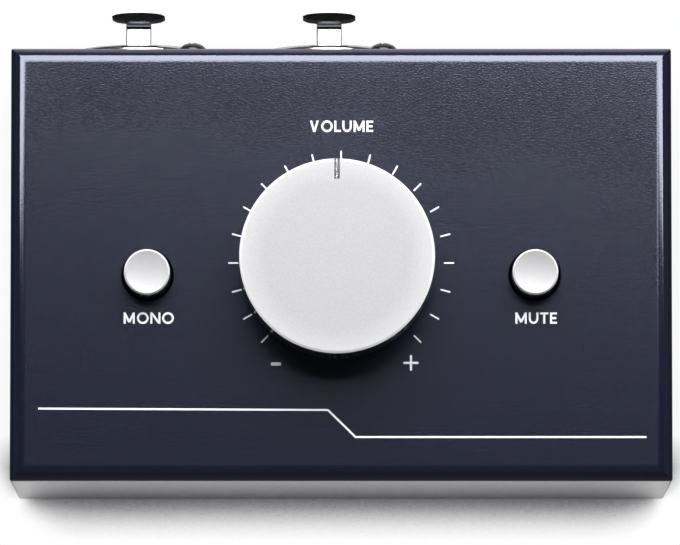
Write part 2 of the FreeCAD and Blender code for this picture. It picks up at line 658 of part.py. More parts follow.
def make_potentiometer():
    half = "pot_width / 2"
    cut = "pot_width / 2 - pot_corner"
    cut_square = [(cut, f"-{half}"), (half, f"-({cut})"), (half, cut), (cut, half),
               (f"-({cut})", half), (f"-{half}", cut), (f"-{half}", f"-({cut})"), (f"-({cut})", f"-{half}")]
    decks = []
    for deck in range(int(size("deck_count"))):
        holder = doc.addObject("PartDesign::Body", f"pot_deck_{deck + 1}")
        place(holder, x="knob_offset", y="case_middle", z=f"board_top + {deck} * deck_pitch")
        section = new_sketch(holder)
        outline(section, cut_square)
        octagon(section, "2 * (shaft_radius + fit_gap)")
        pad(holder, section, "deck_pitch")
        waist = new_sketch(holder, "XY_Plane", "deck_pitch - deck_gap")
        outline(waist, cut_square)
        rectangle(waist, f"-{half} + pot_corner", f"{half} - pot_corner",
                  f"-{half} + deck_gap", f"{half} - deck_gap")
        pocket(holder, waist, "deck_gap", back=True)
        decks.append(holder)
    group("pot_decks", decks)

    plate = body("pot_front_plate", x="knob_offset", y="case_middle", z="pot_top - pot_plate_gauge")
    sheet = new_sketch(plate)
    rectangle(sheet, f"-{half}", half, f"-({cut})", cut)
    circle(sheet, "0", "0", "shaft_radius + hole_gap")
    pad(plate, sheet, "pot_plate_gauge")
    legs = new_sketch(plate, "XY_Plane", "pot_plate_gauge")
    for side in ("", "-"):
        rectangle(legs, f"{side}({half})", f"{side}({half} + pot_plate_gauge)",
                  "-pot_leg_width / 2", "pot_leg_width / 2")
    pad(plate, legs, "pot_top - board_top", back=True)
    lug = new_sketch(plate, "XY_Plane", "pot_plate_gauge")
    rectangle(lug, "-lug_offset - pot_plate_gauge / 2", "-lug_offset + pot_plate_gauge / 2",
              "-lug_width / 2", "lug_width / 2")
    pad(plate, lug, "panel_under - pot_top + lug_rise")

    bore = "shaft_radius + fit_gap"
    shoulder = "panel_under - pot_top"
    end = "bushing_top - pot_top"
    bushing = body("pot_bushing", x="knob_offset", y="case_middle", z="pot_top")
    for radius, height in (("bushing_flange", shoulder), ("bushing_radius", end)):
        section = new_sketch(bushing)
        many_sided(section, radius)
        circle(section, "0", "0", bore)
        pad(bushing, section, height)
    ring = "bushing_radius + hole_gap"
    washer = faceted("pot_washer", [(ring, "0"), ("washer_radius", "0"), ("washer_radius", "washer_gauge"),
                                    (ring, "washer_gauge")],
                     "knob_offset", "case_middle", "panel_top", sides="foot_sides")
    pieces.append(washer)
    nut = body("pot_nut", x="knob_offset", y="case_middle", z="panel_top + washer_gauge")
    flats = new_sketch(nut)
    hexagon(flats, "pot_nut_flats")
    circle(flats, "0", "0", "bushing_radius + fit_gap")
    pad(nut, flats, "pot_nut_height")

    terminals = []
    for deck in range(int(size("deck_count"))):
        for column in (-1, 0, 1):
            name = f"pot_terminal_{deck + 1}_{column + 2}"
            x = f"knob_offset + {column} * 2 * pin_pitch - pin_width / 2"
            reach = f"(pin_width + {deck} * pin_pitch / 2)"
            height = f"board_top + ({deck} + 0.5) * deck_pitch - pin_width"
            front = f"case_middle - {half} - {reach}"
            arm = primitive("Box", f"{name}_arm", Length="pin_width", Width=reach, Height="pin_width",
                            x=x, y=front, z=height)
            drop = primitive("Box", f"{name}_drop", Length="pin_width", Width="pin_width",
                             Height=f"{height} - board_under + pin_proud",
                             x=x, y=front, z="board_under - pin_proud")
            terminals.append(joined(name, [arm, drop]))
    group("pot_terminals", terminals)


def make_knob():
    knob = body("volume_knob", x="knob_offset", y="case_middle", z="knob_bottom")
    profile = new_sketch(knob, "XZ_Plane")
    outline(profile, [("0", "0"), ("knob_radius", "0"), ("knob_radius", "knob_height - knob_chamfer"),
                      ("knob_radius - knob_chamfer", "knob_height"), ("0", "knob_height")])
    revolve(knob, profile)
    hollow = new_sketch(knob)
    many_sided(hollow, "knob_radius - knob_wall")
    many_sided(hollow, "knob_boss")
    pocket(knob, hollow, "knob_hollow", back=True)
    mouth = new_sketch(knob)
    many_sided(mouth, "knob_boss")
    pocket(knob, mouth, "insert_top - insert_height - knob_bottom", back=True)
    socket = new_sketch(knob, "XY_Plane", "insert_top - insert_height - knob_bottom")
    many_sided(socket, "insert_radius + fit_gap")
    pocket(knob, socket, "insert_height", back=True)
    index = new_sketch(knob, "XY_Plane", "knob_height")
    rectangle(index, "-index_width / 2", "index_width / 2", "knob_radius - index_length", "knob_radius + overcut")
    pocket(knob, index, "index_sink")

    insert = body("knob_insert", x="knob_offset", y="case_middle", z="insert_top - insert_height")
    section = new_sketch(insert)
    many_sided(section, "insert_radius")
    pad(insert, section, "insert_height")
    bore = new_sketch(insert)
    d_outline(bore, "shaft_radius + fit_gap", "shaft_flat + fit_gap")
    pocket(insert, bore, "insert_height - shaft_tip_gap + fit_gap", back=True)

    shaft = body("pot_shaft", x="knob_offset", y="case_middle", z="board_top + fit_gap")
    rod = new_sketch(shaft)
    circle(rod, "0", "0", "shaft_radius")
    pad(shaft, rod, "shaft_top - board_top - fit_gap")
    flat = new_sketch(shaft, "XY_Plane", "shaft_top - board_top - fit_gap")
    rectangle(flat, "-shaft_radius - overcut", "shaft_radius + overcut", "shaft_flat", "shaft_radius + overcut")
    pocket(shaft, flat, "insert_height - shaft_tip_gap + flat_margin")


def d_outline(sketch, radius, flat):
    """A round hole with one flat towards the rear."""
    half_flat = f"sqrt(({radius}) ^ 2 - ({flat}) ^ 2)"
    outline(sketch, [(half_flat, flat), (f"-({half_flat})", flat), ("0", f"-({radius})")],
            {1: (radius, 1), 2: (radius, 1)})


# Switching: two push switches on the control board, their caps standing out of the panel.

def make_button(name, x):
    cap = body(f"{name}_cap", x=x, y="button_y", z="cap_bottom")
    profile = new_sketch(cap, "XZ_Plane")
    rim = "cap_radius - cap_chamfer"
    socket = "plunger_radius + fit_gap"
    points = [("0", "cap_height - cap_dish"), ("0", "cap_socket"), (socket, "cap_socket"), (socket, "0"),
              ("cap_radius", "0"), ("cap_radius", "cap_height - cap_chamfer"), (rim, "cap_height")]
    outline(profile, points)
    revolve(cap, profile)

    turned(f"{name}_plunger", [("0", "0"), ("plunger_radius", "0"),
                               ("plunger_radius", "plunger_top - plunger_bottom"),
                               ("0", "plunger_top - plunger_bottom")],
           x=x, y="button_y", z="plunger_bottom")

    switch = body(f"{name}_switch_body", x=x, y="button_y", z="board_top")
    section = new_sketch(switch)
    half = "switch_width / 2"
    rectangle(section, f"-{half}", half, f"-{half}", half)
    pad(switch, section, "switch_height")
    dress(switch, "Chamfer", upright, "switch_corner")
    well = new_sketch(switch, "XY_Plane", "switch_height")
    circle(well, "0", "0", "plunger_radius + fit_gap")
    pocket(switch, well, "plunger_depth + button_travel + fit_gap")

    pins = []
    for column in (-1, 1):
        for line in (-1, 0, 1):
            pins.append(primitive("Box", f"{name}_pin_{column + 2}_{line + 2}",
                                  Length="pin_width", Width="pin_width", Height="board_gauge + pin_proud",
                                  x=f"{x} + {column} * pin_pitch - pin_width / 2",
                                  y=f"button_y + {line} * pin_pitch - pin_width / 2",
                                  z="board_under - pin_proud"))
    group(f"{name}_switch_pins", pins)

    make_return_spring(f"{name}_return_spring", x)


def make_return_spring(label, x):
    """An open coil of square wire between the switch and the cap."""
    half = size("wire_gauge") / 2
    radius = size("coil_radius")
    steps = round(size("coil_turns") * size("coil_steps"))
    rise = size("cap_bottom - switch_top") - 2 * half
    sections = []
    for step in range(steps + 1):
        turn = 2 * math.pi * step / size("coil_steps")
        height = half + rise * step / steps
        corners = []
        for out, up in ((-half, -half), (half, -half), (half, half), (-half, half), (-half, -half)):
            reach = radius + out
            corners.append(Vector(reach * math.cos(turn), reach * math.sin(turn), height + up))
        sections.append(Part.makePolygon(corners))
    spring = doc.addObject("Part::Feature", label)
    spring.Shape = Part.makeLoft(sections, True, True)
    place(spring, x=x, y="button_y", z="switch_top")
    spring.Label = label
    pieces.append(spring)


# Boards: the control board hangs under the panel, the rear board stands behind the sockets.

def standoff_spots():
    spots = []
    for side in ("-", ""):
        for y in ("case_middle - standoff_front", "case_middle + standoff_rear"):
            spots.append((f"{side}(case_width / 2 - standoff_inset_x)", y))
    return spots


def make_control_board():
    board = body("control_board", z="board_under")
    section = new_sketch(board)
    half = "case_width / 2 - board_side_gap"
    rectangle(section, f"-({half})", half, "board_front_edge", "board_rear_edge")
    pad(board, section, "board_gauge")
    drill = new_sketch(board)
    for x, y in standoff_spots():
        octagon(drill, "2 * (board_screw_radius + fit_gap)", x, y)
    hole = "(pin_width / 2 + fit_gap)"
    for x in ("-button_spacing", "button_spacing"):
        for column in (-1, 1):
            middle = f"{x} + {column} * pin_pitch"
            rectangle(drill, f"{middle} - {hole}", f"{middle} + {hole}", f"button_y - pin_pitch - {hole}",
                      f"button_y + pin_pitch + {hole}")
    nearest = "case_middle - pot_width / 2 - pin_width / 2"
    for column in (-1, 0, 1):
        middle = f"knob_offset + {column} * 2 * pin_pitch"
        rectangle(drill, f"{middle} - {hole}", f"{middle} + {hole}",
                  f"{nearest} - (deck_count - 1) * pin_pitch / 2 - {hole}", f"{nearest} + {hole}")
    row = "board_rear_edge - header_height / 2"
    rectangle(drill, f"{header_pin_x(0)} - {hole}", f"{header_pin_x('header_pins - 1')} + {hole}",
              f"{row} - {hole}", f"{row} + {hole}")
    pocket(board, drill, "board_gauge", back=True)


def square_hole(sketch, x, y, half):
    rectangle(sketch, f"{x} - ({half})", f"{x} + ({half})", f"{y} - ({half})", f"{y} + ({half})")


def header_pin_x(pin):
    return f"header_x + (({pin}) - (header_pins - 1) / 2) * pin_pitch"


def make_rear_board():
    board = body("rear_board", y="rear_board_rear", z="0", facing_rear=True)
    section = new_sketch(board, "XY_Plane", "-board_gauge")
    half = "case_width / 2 - board_side_gap"
    low = "input_height - flange_height / 2"
    high = "input_height + flange_height / 2"
    rectangle(section, f"-({half})", half, low, high)
    pad(board, section, "board_gauge")
    drill = new_sketch(board)
    for middle in ("left_input_x", "right_input_x"):
        for x, y in contact_spots():
            square_hole(drill, f"-({middle}) + {x}", f"input_height + {y}", "pin_width / 2 + fit_gap")
    hole = "pin_width / 2 + fit_gap"
    for pin in range(int(size("header_pins"))):
        square_hole(drill, f"-({header_pin_x(pin)})", "board_top + header_height / 2", hole)
    pocket(board, drill, "board_gauge")


def make_header():
    strip = primitive("Box", "header_strip", Length="header_pins * pin_pitch", Width="header_height",
                      Height="header_height", x="header_x - header_pins * pin_pitch / 2",
                      y="board_rear_edge - header_height", z="board_top")
    holes = []
    pins = []
    for pin in range(int(size("header_pins"))):
        x = f"{header_pin_x(pin)} - pin_width / 2"
        y = "board_rear_edge - header_height / 2 - pin_width / 2"
        z = "board_top + header_height / 2 - pin_width / 2"
        length = "board_joint + board_gauge + header_height / 2 + pin_width / 2 - fit_gap"
        level = primitive("Box", f"header_level_{pin + 1}",
                          Length="pin_width", Width=length, Height="pin_width",
                          x=x, y=y, z=z)
        drop = primitive("Box", f"header_drop_{pin + 1}", Length="pin_width", Width="pin_width",
                         Height=f"{z} - board_under + pin_proud", x=x, y=y, z="board_under - pin_proud")
        pins.append(joined(f"header_pin_{pin + 1}", [level, drop]))
        wide = "pin_width + 2 * fit_gap"
        holes.append(primitive("Box", f"header_slot_{pin + 1}", Length=wide, Width="header_height",
                               Height=f"header_height / 2 + pin_width / 2 + fit_gap", x=f"{x} - fit_gap",
                               y=f"{y} - fit_gap", z="board_top"))
    slots = joined("header_slots", holes, "Compound")
    header = doc.addObject("Part::Cut", "board_header")
    header.Base = strip
    header.Tool = slots
    header.Label = "board_header"
    pieces.append(header)
    group("header_pins", pins)


def make_board_fasteners():
    standoffs = []
    screws = []
    bore = "board_screw_radius + fit_gap"
    for index, (x, y) in enumerate(standoff_spots()):
        holder = doc.addObject("PartDesign::Body", f"standoff_{index + 1}")
        place(holder, x=x, y=y, z="board_top")
        flats = new_sketch(holder)
        hexagon(flats, "standoff_flats")
        pad(holder, flats, "board_drop")
        thread = new_sketch(holder)
        octagon(thread, f"2 * ({bore})")
        pocket(holder, thread, "board_screw_length", back=True)
        standoffs.append(holder)
        profile = [("0", "-board_screw_head / 2"), ("board_screw_head", "-board_screw_head / 2"),
                   ("board_screw_head", "0"), ("board_screw_radius", "0"),
                   ("board_screw_radius", "board_screw_length"), ("0", "board_screw_length")]
        screws.append(faceted(f"board_screw_{index + 1}", profile, x, y, "board_under"))
    group("board_standoffs", standoffs)
    group("board_screws", screws)


def make_resistors():
    chips = []
    for line, y in enumerate(("board_front_edge + chip_width", "board_front_edge + 2 * chip_width + chip_gap")):
        for place_in_line in range(int(size("chip_count"))):
            x = f"(({place_in_line}) - (chip_count - 1) / 2) * (chip_pitch + chip_width) - chip_length / 2"
            chips.append(primitive("Box", f"resistor_{line + 1}_{place_in_line + 1}", Length="chip_length",
                                   Width="chip_width", Height="chip_height", x=x, y=y, z="board_top"))
    group("resistors", chips)


# Input sockets: a metal shell with a flange, a core with a jack bore and three contacts, and a latch lever.
# Each is drawn as seen from behind the object, with its own Z pointing out of the rear wall.

def contact_spots():
    return [("-contact_x", "contact_y"), ("contact_x", "contact_y"), ("0", "-contact_circle")]


def make_input_socket(side, x):
    where = {"x": x, "y": "rear_face", "z": "input_height", "facing_rear": True}

    shell = body(f"{side}_input_shell", **where)
    profile = new_sketch(shell, "XZ_Plane")
    back = "-sheet_gauge - shell_depth"
    behind = "-sheet_gauge - flange_gauge"
    outline(profile, [("groove_radius", behind), ("bezel_radius", behind),
                      ("bezel_radius", "bezel_proud - bezel_bevel"), ("bezel_radius - bezel_bevel", "bezel_proud"),
                      ("groove_radius", "bezel_proud")])
    revolve(shell, profile)
    barrel = new_sketch(shell, "XY_Plane", back)
    octagon(barrel, "2 * bezel_radius")
    octagon(barrel, "2 * groove_radius")
    pad(shell, barrel, "shell_depth - flange_gauge")
    flange = new_sketch(shell, "XY_Plane", "-sheet_gauge")
    width, height, corner = "flange_width / 2", "flange_height / 2", "flange_corner"
    outline(flange, [(f"-{width} + {corner}", f"-{height}"), (f"{width} - {corner}", f"-{height}"),
                     (width, f"-{height} + {corner}"), (width, f"{height} - {corner}"),
                     (f"{width} - {corner}", height), (f"-{width} + {corner}", height),
                     (f"-{width}", f"{height} - {corner}"), (f"-{width}", f"-{height} + {corner}")],
            {1: (corner, 1), 3: (corner, 1), 5: (corner, 1), 7: (corner, 1)})
    circle(flange, "0", "0", "groove_radius")
    octagon(flange, "2 * (socket_screw_radius + fit_gap)", "-flange_screw_x", "flange_screw_y")
    octagon(flange, "2 * (socket_screw_radius + fit_gap)", "flange_screw_x", "-flange_screw_y")
    pad(shell, flange, "flange_gauge", back=True)
    slot = new_sketch(shell, "XY_Plane", "bezel_proud + overcut")
    rectangle(slot, "-stem_width / 2 - slot_gap", "stem_width / 2 + slot_gap", "0",
              "stem_low + stem_gauge + slot_gap")
    pocket(shell, slot, "bezel_proud + overcut + stem_reach + lever_travel + slot_gap")

    core = body(f"{side}_input_core", **where)
    section = new_sketch(core, "XZ_Plane")
    outline(section, [("jack_bore", back), ("core_radius", back),
                      ("core_radius", "bezel_proud - core_recess"),
                      ("jack_bore", "bezel_proud - core_recess")])
    revolve(core, section)
    collar = new_sketch(core, "XY_Plane", back)
    octagon(collar, "2 * (groove_radius - fit_gap)")
    circle(collar, "0", "0", "jack_bore")
    pad(core, collar, "flange_gauge")
    holes = new_sketch(core, "XY_Plane", "bezel_proud")
    for across, up in contact_spots():
        octagon(holes, "2 * contact_hole", across, up)
    pocket(core, holes, "bezel_proud + contact_depth")
    tails = new_sketch(core, "XY_Plane", back)
    for across, up in contact_spots():
        square_hole(tails, across, up, "pin_width / 2 + fit_gap")
    pocket(core, tails, "shell_depth", back=True)

    housing = body(f"{side}_input_housing", **where)
    tube = new_sketch(housing, "XY_Plane", back)
    width, height = "housing_width / 2", "housing_height / 2"
    rectangle(tube, f"-{width}", width, f"-{height}", height)
    rectangle(tube, f"-{width} + housing_wall", f"{width} - housing_wall", f"-{height} + housing_wall",
              f"{height} - housing_wall")
    pad(housing, tube, "socket_reach", back=True)

    contacts = []
    for number, (across, up) in enumerate(contact_spots()):
        contacts.append(contact_sleeve(f"{side}_contact_{number + 1}", across, up, where))
    group(f"{side}_input_contacts", contacts)

    springs = []
    for hand in ("-", ""):
        name = f"{side}_leaf_{'left' if hand else 'right'}"
        springs.append(jack_leaf(name, hand, where, "shell_depth + sheet_gauge"))
    group(f"{side}_input_jack_springs", springs)


def contact_sleeve(name, across, up, where):
    """A sleeve for one pin of the plug, with a square tail that goes through the rear board."""
    holder = doc.addObject("PartDesign::Body", name)
    place(holder, **where)
    root = "-contact_depth + fit_gap"
    ring = new_sketch(holder, "XY_Plane", root)
    octagon(ring, "2 * (contact_hole - fit_gap)", across, up)
    pad(holder, ring, "contact_depth - fit_gap")
    tail = new_sketch(holder, "XY_Plane", root)
    half = "pin_width / 2"
    rectangle(tail, f"{across} - {half}", f"{across} + {half}", f"{up} - {half}", f"{up} + {half}")
    pad(holder, tail, "socket_depth + board_gauge + pin_proud - contact_depth + fit_gap", back=True)
    mouth = new_sketch(holder)
    octagon(mouth, "2 * (contact_hole - fit_gap - contact_wall)", across, up)
    pocket(holder, mouth, "contact_depth - 2 * contact_hole")
    return holder


def jack_leaf(name, hand, where, start):
    """A sheet spring that stands on the rear board and bends in towards the plug."""
    holder = doc.addObject("PartDesign::Body", name)
    place(holder, **where)
    strip = new_sketch(holder, "XZ_Plane", "-leaf_width / 2")
    near = "jack_bore + leaf_gap"
    far = "jack_bore + leaf_gap + leaf_spread"
    deep = "-socket_depth"
    tip = f"-({start}) - 2 * leaf_gauge"
    knee = f"-({start}) - leaf_width - leaf_gauge"
    points = [(f"{hand}({far})", deep), (f"{hand}({far} + leaf_gauge)", deep),
              (f"{hand}({far} + leaf_gauge)", knee),
              (f"{hand}({near} + leaf_gauge)", tip), (f"{hand}({near})", tip), (f"{hand}({far})", knee)]
    outline(strip, points)
    pad(holder, strip, "leaf_width")
    return holder


def make_socket_screws():
    screws = []
    for side, x in (("left", "left_input_x"), ("right", "right_input_x")):
        for hand in ("+", "-"):
            profile = [("0", "-socket_screw_length"), ("socket_screw_radius", "-socket_screw_length"),
                       ("socket_screw_radius", "0"), ("socket_screw_head", "0"),
                       ("socket_screw_head * 3 / 4", "socket_screw_rise * 2 / 3"), ("0", "socket_screw_rise")]
            name = f"{side}_screw_{'upper' if hand == '+' else 'lower'}"
            screws.append(faceted(name, profile, f"{x} {hand} flange_screw_x", "rear_face",
                                  f"input_height {hand} flange_screw_y", facing_rear=True))
    group("socket_screws", screws)


def make_lever(side, x):
    lever = body(f"{side}_release_lever", x=x, y="rear_face", z="input_height", facing_rear=True)
    plan = new_sketch(lever, "XZ_Plane", "-stem_low - stem_gauge - thumb_rise")
    half = "thumb_width / 2"
    crown = f"(({half}) ^ 2 + thumb_crown ^ 2) / (2 * thumb_crown)"
    outline(plan, [(f"-{half}", "thumb_back"), (half, "thumb_back"), (half, "thumb_back + thumb_edge"),
                   (f"-{half}", "thumb_back + thumb_edge")], {2: (crown, 1)})
    pad(lever, plan, "thumb_drop + stem_gauge + thumb_rise")
    stem = new_sketch(lever, "XZ_Plane", "-stem_low - stem_gauge")
    rectangle(stem, "-stem_width / 2", "stem_width / 2", "-stem_reach", "thumb_back")
    pad(lever, stem, "stem_gauge")
    side_view = new_sketch(lever, "YZ_Plane", "-stem_width / 2")
    outline(side_view, [("stem_low", "-stem_reach"), ("stem_low", "-stem_reach + latch_length"),
                        ("stem_low - latch_drop", "-stem_reach")])
    top = "stem_low + stem_gauge"
    outline(side_view, [(top, "thumb_back - stem_bend"), (f"{top} + stem_bend", "thumb_back"),
                        (top, "thumb_back")], {0: ("stem_bend", 1)})
    pad(lever, side_view, "stem_width")


# Output jacks: a moulded body with a threaded nose, a nut outside and two springs inside.

def make_output_jack(side, x):
    where = {"x": x, "y": "rear_face", "z": "output_height", "facing_rear": True}
    jack = body(f"{side}_output_jack", **where)
    block = new_sketch(jack, "XY_Plane", "-sheet_gauge")
    width, height = "jack_width / 2", "jack_height / 2"
    rectangle(block, f"-{width}", width, f"-{height}", height)
    pad(jack, block, "jack_reach", back=True)
    nose = new_sketch(jack, "XY_Plane", "-sheet_gauge")
    circle(nose, "0", "0", "nose_radius")
    pad(jack, nose, "sheet_gauge + nose_proud")
    bore = new_sketch(jack, "XY_Plane", "nose_proud")
    circle(bore, "0", "0", "jack_bore")
    pocket(jack, bore, "nose_proud + jack_front")
    chamber = new_sketch(jack, "XY_Plane", "-socket_depth")
    rectangle(chamber, f"-{width} + jack_wall", f"{width} - jack_wall", f"-{height} + jack_wall",
              f"{height} - jack_wall")
    pocket(jack, chamber, "socket_depth - jack_front", back=True)

    nut = body(f"{side}_output_nut", **where)
    flats = new_sketch(nut)
    hexagon(flats, "jack_nut_flats")
    circle(flats, "0", "0", "nose_radius + fit_gap")
    pad(nut, flats, "jack_nut_height")

    springs = []
    for hand in ("-", ""):
        name = f"{side}_output_leaf_{'left' if hand else 'right'}"
        springs.append(jack_leaf(name, hand, where, "jack_front"))
    group(f"{side}_output_contacts", springs)


make_top_cover()
make_base_plate()
make_base_fasteners()
make_feet()
make_potentiometer()
make_knob()
make_button("mono", "-button_spacing")
make_button("mute", "button_spacing")
make_control_board()
make_rear_board()
make_header()
make_board_fasteners()
make_resistors()
make_input_socket("left", "left_input_x")
make_input_socket("right", "right_input_x")
make_socket_screws()
make_lever("left", "left_input_x")
make_lever("right", "right_input_x")
make_output_jack("left", "left_output_x")
make_output_jack("right", "right_output_x")

doc.recompute()
for entry in doc.Objects:
    if "Invalid" in entry.State or "Error" in entry.State:
        raise ValueError(f"{entry.Label} failed: {entry.State}")
for cut, base in cuts:
    if cut.Shape.Volume >= base.Shape.Volume:
        raise ValueError(f"{cut.Label} cuts nothing")
for piece in pieces:
    if piece.Shape.isNull() or not piece.Shape.isValid():
        raise ValueError(f"{piece.Label} has no valid shape")

os.makedirs("parts", exist_ok=True)
for piece in pieces:
    piece.Shape.exportStep(os.path.join("parts", f"{piece.Label}.step"))
    print(piece.Label, len(piece.Shape.Solids), round(piece.Shape.Volume, 2))
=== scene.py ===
import json
import math
import bmesh
import bpy
from mathutils import Matrix, Vector

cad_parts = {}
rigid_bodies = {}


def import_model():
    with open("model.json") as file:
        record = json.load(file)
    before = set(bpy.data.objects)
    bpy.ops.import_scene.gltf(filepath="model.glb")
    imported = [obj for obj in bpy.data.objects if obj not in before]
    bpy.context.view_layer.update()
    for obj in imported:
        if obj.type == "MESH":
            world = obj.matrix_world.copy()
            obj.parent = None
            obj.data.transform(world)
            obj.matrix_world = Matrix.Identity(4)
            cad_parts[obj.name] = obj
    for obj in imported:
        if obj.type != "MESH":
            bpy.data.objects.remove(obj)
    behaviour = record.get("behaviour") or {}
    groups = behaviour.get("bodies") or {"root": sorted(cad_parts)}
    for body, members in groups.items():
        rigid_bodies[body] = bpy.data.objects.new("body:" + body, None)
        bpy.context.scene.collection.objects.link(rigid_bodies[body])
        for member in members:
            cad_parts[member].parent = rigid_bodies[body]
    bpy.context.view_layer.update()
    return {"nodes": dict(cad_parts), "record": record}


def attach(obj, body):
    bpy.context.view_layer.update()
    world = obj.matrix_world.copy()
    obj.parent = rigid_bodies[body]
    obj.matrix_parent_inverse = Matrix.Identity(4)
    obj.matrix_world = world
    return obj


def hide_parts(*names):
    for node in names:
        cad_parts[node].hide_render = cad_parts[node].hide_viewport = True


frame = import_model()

MM = 0.001


# The object's own measures, in metres, as the construction model has them.

CASE_HALF_X = 57.5 * MM
CASE_MIDDLE_Y = -3.75 * MM
CASE_HALF_Y = 37.8 * MM
FRONT_Y = CASE_MIDDLE_Y - CASE_HALF_Y
REAR_Y = CASE_MIDDLE_Y + CASE_HALF_Y
PANEL_Z = 45.5 * MM
CASE_FOOT_Z = 2.5 * MM
SHEET = 1.2 * MM
KNOB_X = -0.7 * MM
BUTTON_X = 33.6 * MM
BUTTON_Y = CASE_MIDDLE_Y - 2.1 * MM
INPUT_X = {"left": -35.5 * MM, "right": -2.1 * MM}
OUTPUT_X = {"left": 24.5 * MM, "right": 44.0 * MM}
INPUT_Z = 24.0 * MM
OUTPUT_Z = 21.0 * MM
KNOB_RADIUS = 16.88 * MM
KNOB_TOP_Z = 58.0 * MM
CAP_RADIUS = 4.0 * MM
CAP_TOP_Z = 51.0 * MM
CAP_HOLE_RADIUS = 4.5 * MM
SOCKET_SCREW_X = 9.5 * MM
SOCKET_SCREW_Y = 12.0 * MM
SCREW_HOLE_RADIUS = 1.7 * MM
BASE_SCREW_X = 50.5 * MM
BASE_SCREW_Y = 23.8 * MM
FOOT_X = 40.5 * MM
FOOT_Y = 28.8 * MM
RELIEF_HALF_Y = CASE_HALF_Y - 6.0 * MM

# NEAR is the tolerance for picking edges, and a cutting tool runs PAST the piece that it cuts.

NEAR = 1e-6
PAST = 5 * MM
SIDES = ("left", "right")


# Modelling helpers.

def deselect():
    """Leave no object selected."""
    for thing in bpy.data.objects:
        thing.select_set(False)


def activate(thing):
    """Make a piece the only selected object and the active one, in object mode."""
    if bpy.context.mode != "OBJECT":
        bpy.ops.object.mode_set(mode="OBJECT")
    deselect()
    thing.select_set(True)
    bpy.context.view_layer.objects.active = thing


def edit(thing):
    """Open a piece in edit mode and return its editable mesh."""
    activate(thing)
    bpy.ops.object.mode_set(mode="EDIT")
    return bmesh.from_edit_mesh(thing.data)


def leave_edit():
    """Go back to object mode."""
    bpy.ops.object.mode_set(mode="OBJECT")


def apply_place(thing):
    """Write a piece's place, turn and scale into its mesh."""
    activate(thing)
    bpy.ops.object.transform_apply(location=True, rotation=True, scale=True)


def put(thing, x, y, z):
    """Shift a piece that was drawn at the origin to its place."""
    thing.location = (x, y, z)
    apply_place(thing)


def face_rear(thing, x, y, z):
    """Turn a piece drawn along +Z so that it points to the rear, then put it in its place."""
    turn = Matrix.Rotation(math.pi, 4, Vector((0.0, 1.0, 1.0)).normalized())
    thing.matrix_world = Matrix.Translation(Vector((x, y, z))) @ turn
    apply_place(thing)


def block(name, low, high):
    """A box between two opposite corners."""
    deselect()
    bpy.ops.mesh.primitive_cube_add(size=1.0, location=(0, 0, 0))
    made = bpy.context.object
    made.name = name
    made.location = [(a + b) / 2 for a, b in zip(low, high)]
    made.scale = [b - a for a, b in zip(low, high)]
    apply_place(made)
    return made


def cylinder(name, radius, low, high, x=0.0, y=0.0, sides=64, turn=0.0):
    """An upright cylinder from low to high round the point x, y."""
    deselect()
    bpy.ops.mesh.primitive_cylinder_add(vertices=sides, radius=radius, depth=high - low,
                                        location=(x, y, (low + high) / 2), rotation=(0, 0, turn))
    made = bpy.context.object
    made.name = name
    apply_place(made)
    return made


def turned_piece(name, rings, sides=96):
    """A turned solid about Z from rings of (radius, height); a zero radius closes on the axis."""
    closed = rings[0][0] > 0 and rings[0] == rings[-1]
    first = 1 if rings[0][0] == 0 else 0
    deselect()
    start_radius, start_height = rings[first]
    bpy.ops.mesh.primitive_circle_add(vertices=sides, radius=start_radius, location=(0, 0, start_height))
    made = bpy.context.object
    made.name = name
    apply_place(made)
    edit(made)
    bpy.ops.mesh.select_all(action="SELECT")
    if rings[0][0] == 0:
        bpy.ops.mesh.extrude_region_move(
            TRANSFORM_OT_translate={"value": (0, 0, rings[0][1] - start_height)})
        bpy.ops.mesh.merge(type="CENTER")
        ring_only(made, start_radius, start_height)
    radius, height = start_radius, start_height
    for next_radius, next_height in rings[first + 1:]:
        bpy.ops.mesh.extrude_region_move(TRANSFORM_OT_translate={"value": (0, 0, next_height - height)})
        if next_radius == 0:
            bpy.ops.mesh.merge(type="CENTER")
            break
        scale = next_radius / radius
        bpy.ops.transform.resize(value=(scale, scale, 1), center_override=(0, 0, next_height))
        radius, height = next_radius, next_height
    bpy.ops.mesh.select_all(action="SELECT")
    if closed:
        bpy.ops.mesh.remove_doubles(threshold=NEAR / 10)
    bpy.ops.mesh.normals_make_consistent(inside=False)
    leave_edit()
    return made


def ring_only(thing, radius, height):
    """Keep only the vertices of one ring selected."""
    mesh = bmesh.from_edit_mesh(thing.data)
    for vertex in mesh.verts:
        flat = math.hypot(vertex.co.x, vertex.co.y)
        vertex.select = abs(flat - radius) < NEAR and abs(vertex.co.z - height) < NEAR
    mesh.select_flush_mode()
    bpy.ops.mesh.select_mode(type="VERT")
    bmesh.update_edit_mesh(thing.data)


def quarter_turn(count=7):
    """Angles in steps of 15 degrees, for the rounded part of a turned piece."""
    return [math.radians(15 * step) for step in range(count)]


def carve(target, tool, operation="DIFFERENCE"):
    """Cut the tool out of the target, or join the two, and remove the tool."""
    activate(target)
    cut = target.modifiers.new("cut", "BOOLEAN")
    cut.operation = operation
    cut.solver = "EXACT"
    cut.object = tool
    bpy.ops.object.modifier_apply(modifier="cut")
    bpy.data.objects.remove(tool, do_unlink=True)


def bevel_where(thing, wanted, width, segments):
    """Bevel the edges for which wanted(edge) holds."""
    mesh = edit(thing)
    bpy.ops.mesh.select_mode(type="EDGE")
    bpy.ops.mesh.select_all(action="DESELECT")
    for edge in mesh.edges:
        edge.select = wanted(edge)
    bmesh.update_edit_mesh(thing.data)
    bpy.ops.mesh.bevel(offset=width, offset_type="OFFSET", segments=segments, profile=0.5, affect="EDGES")
    leave_edit()


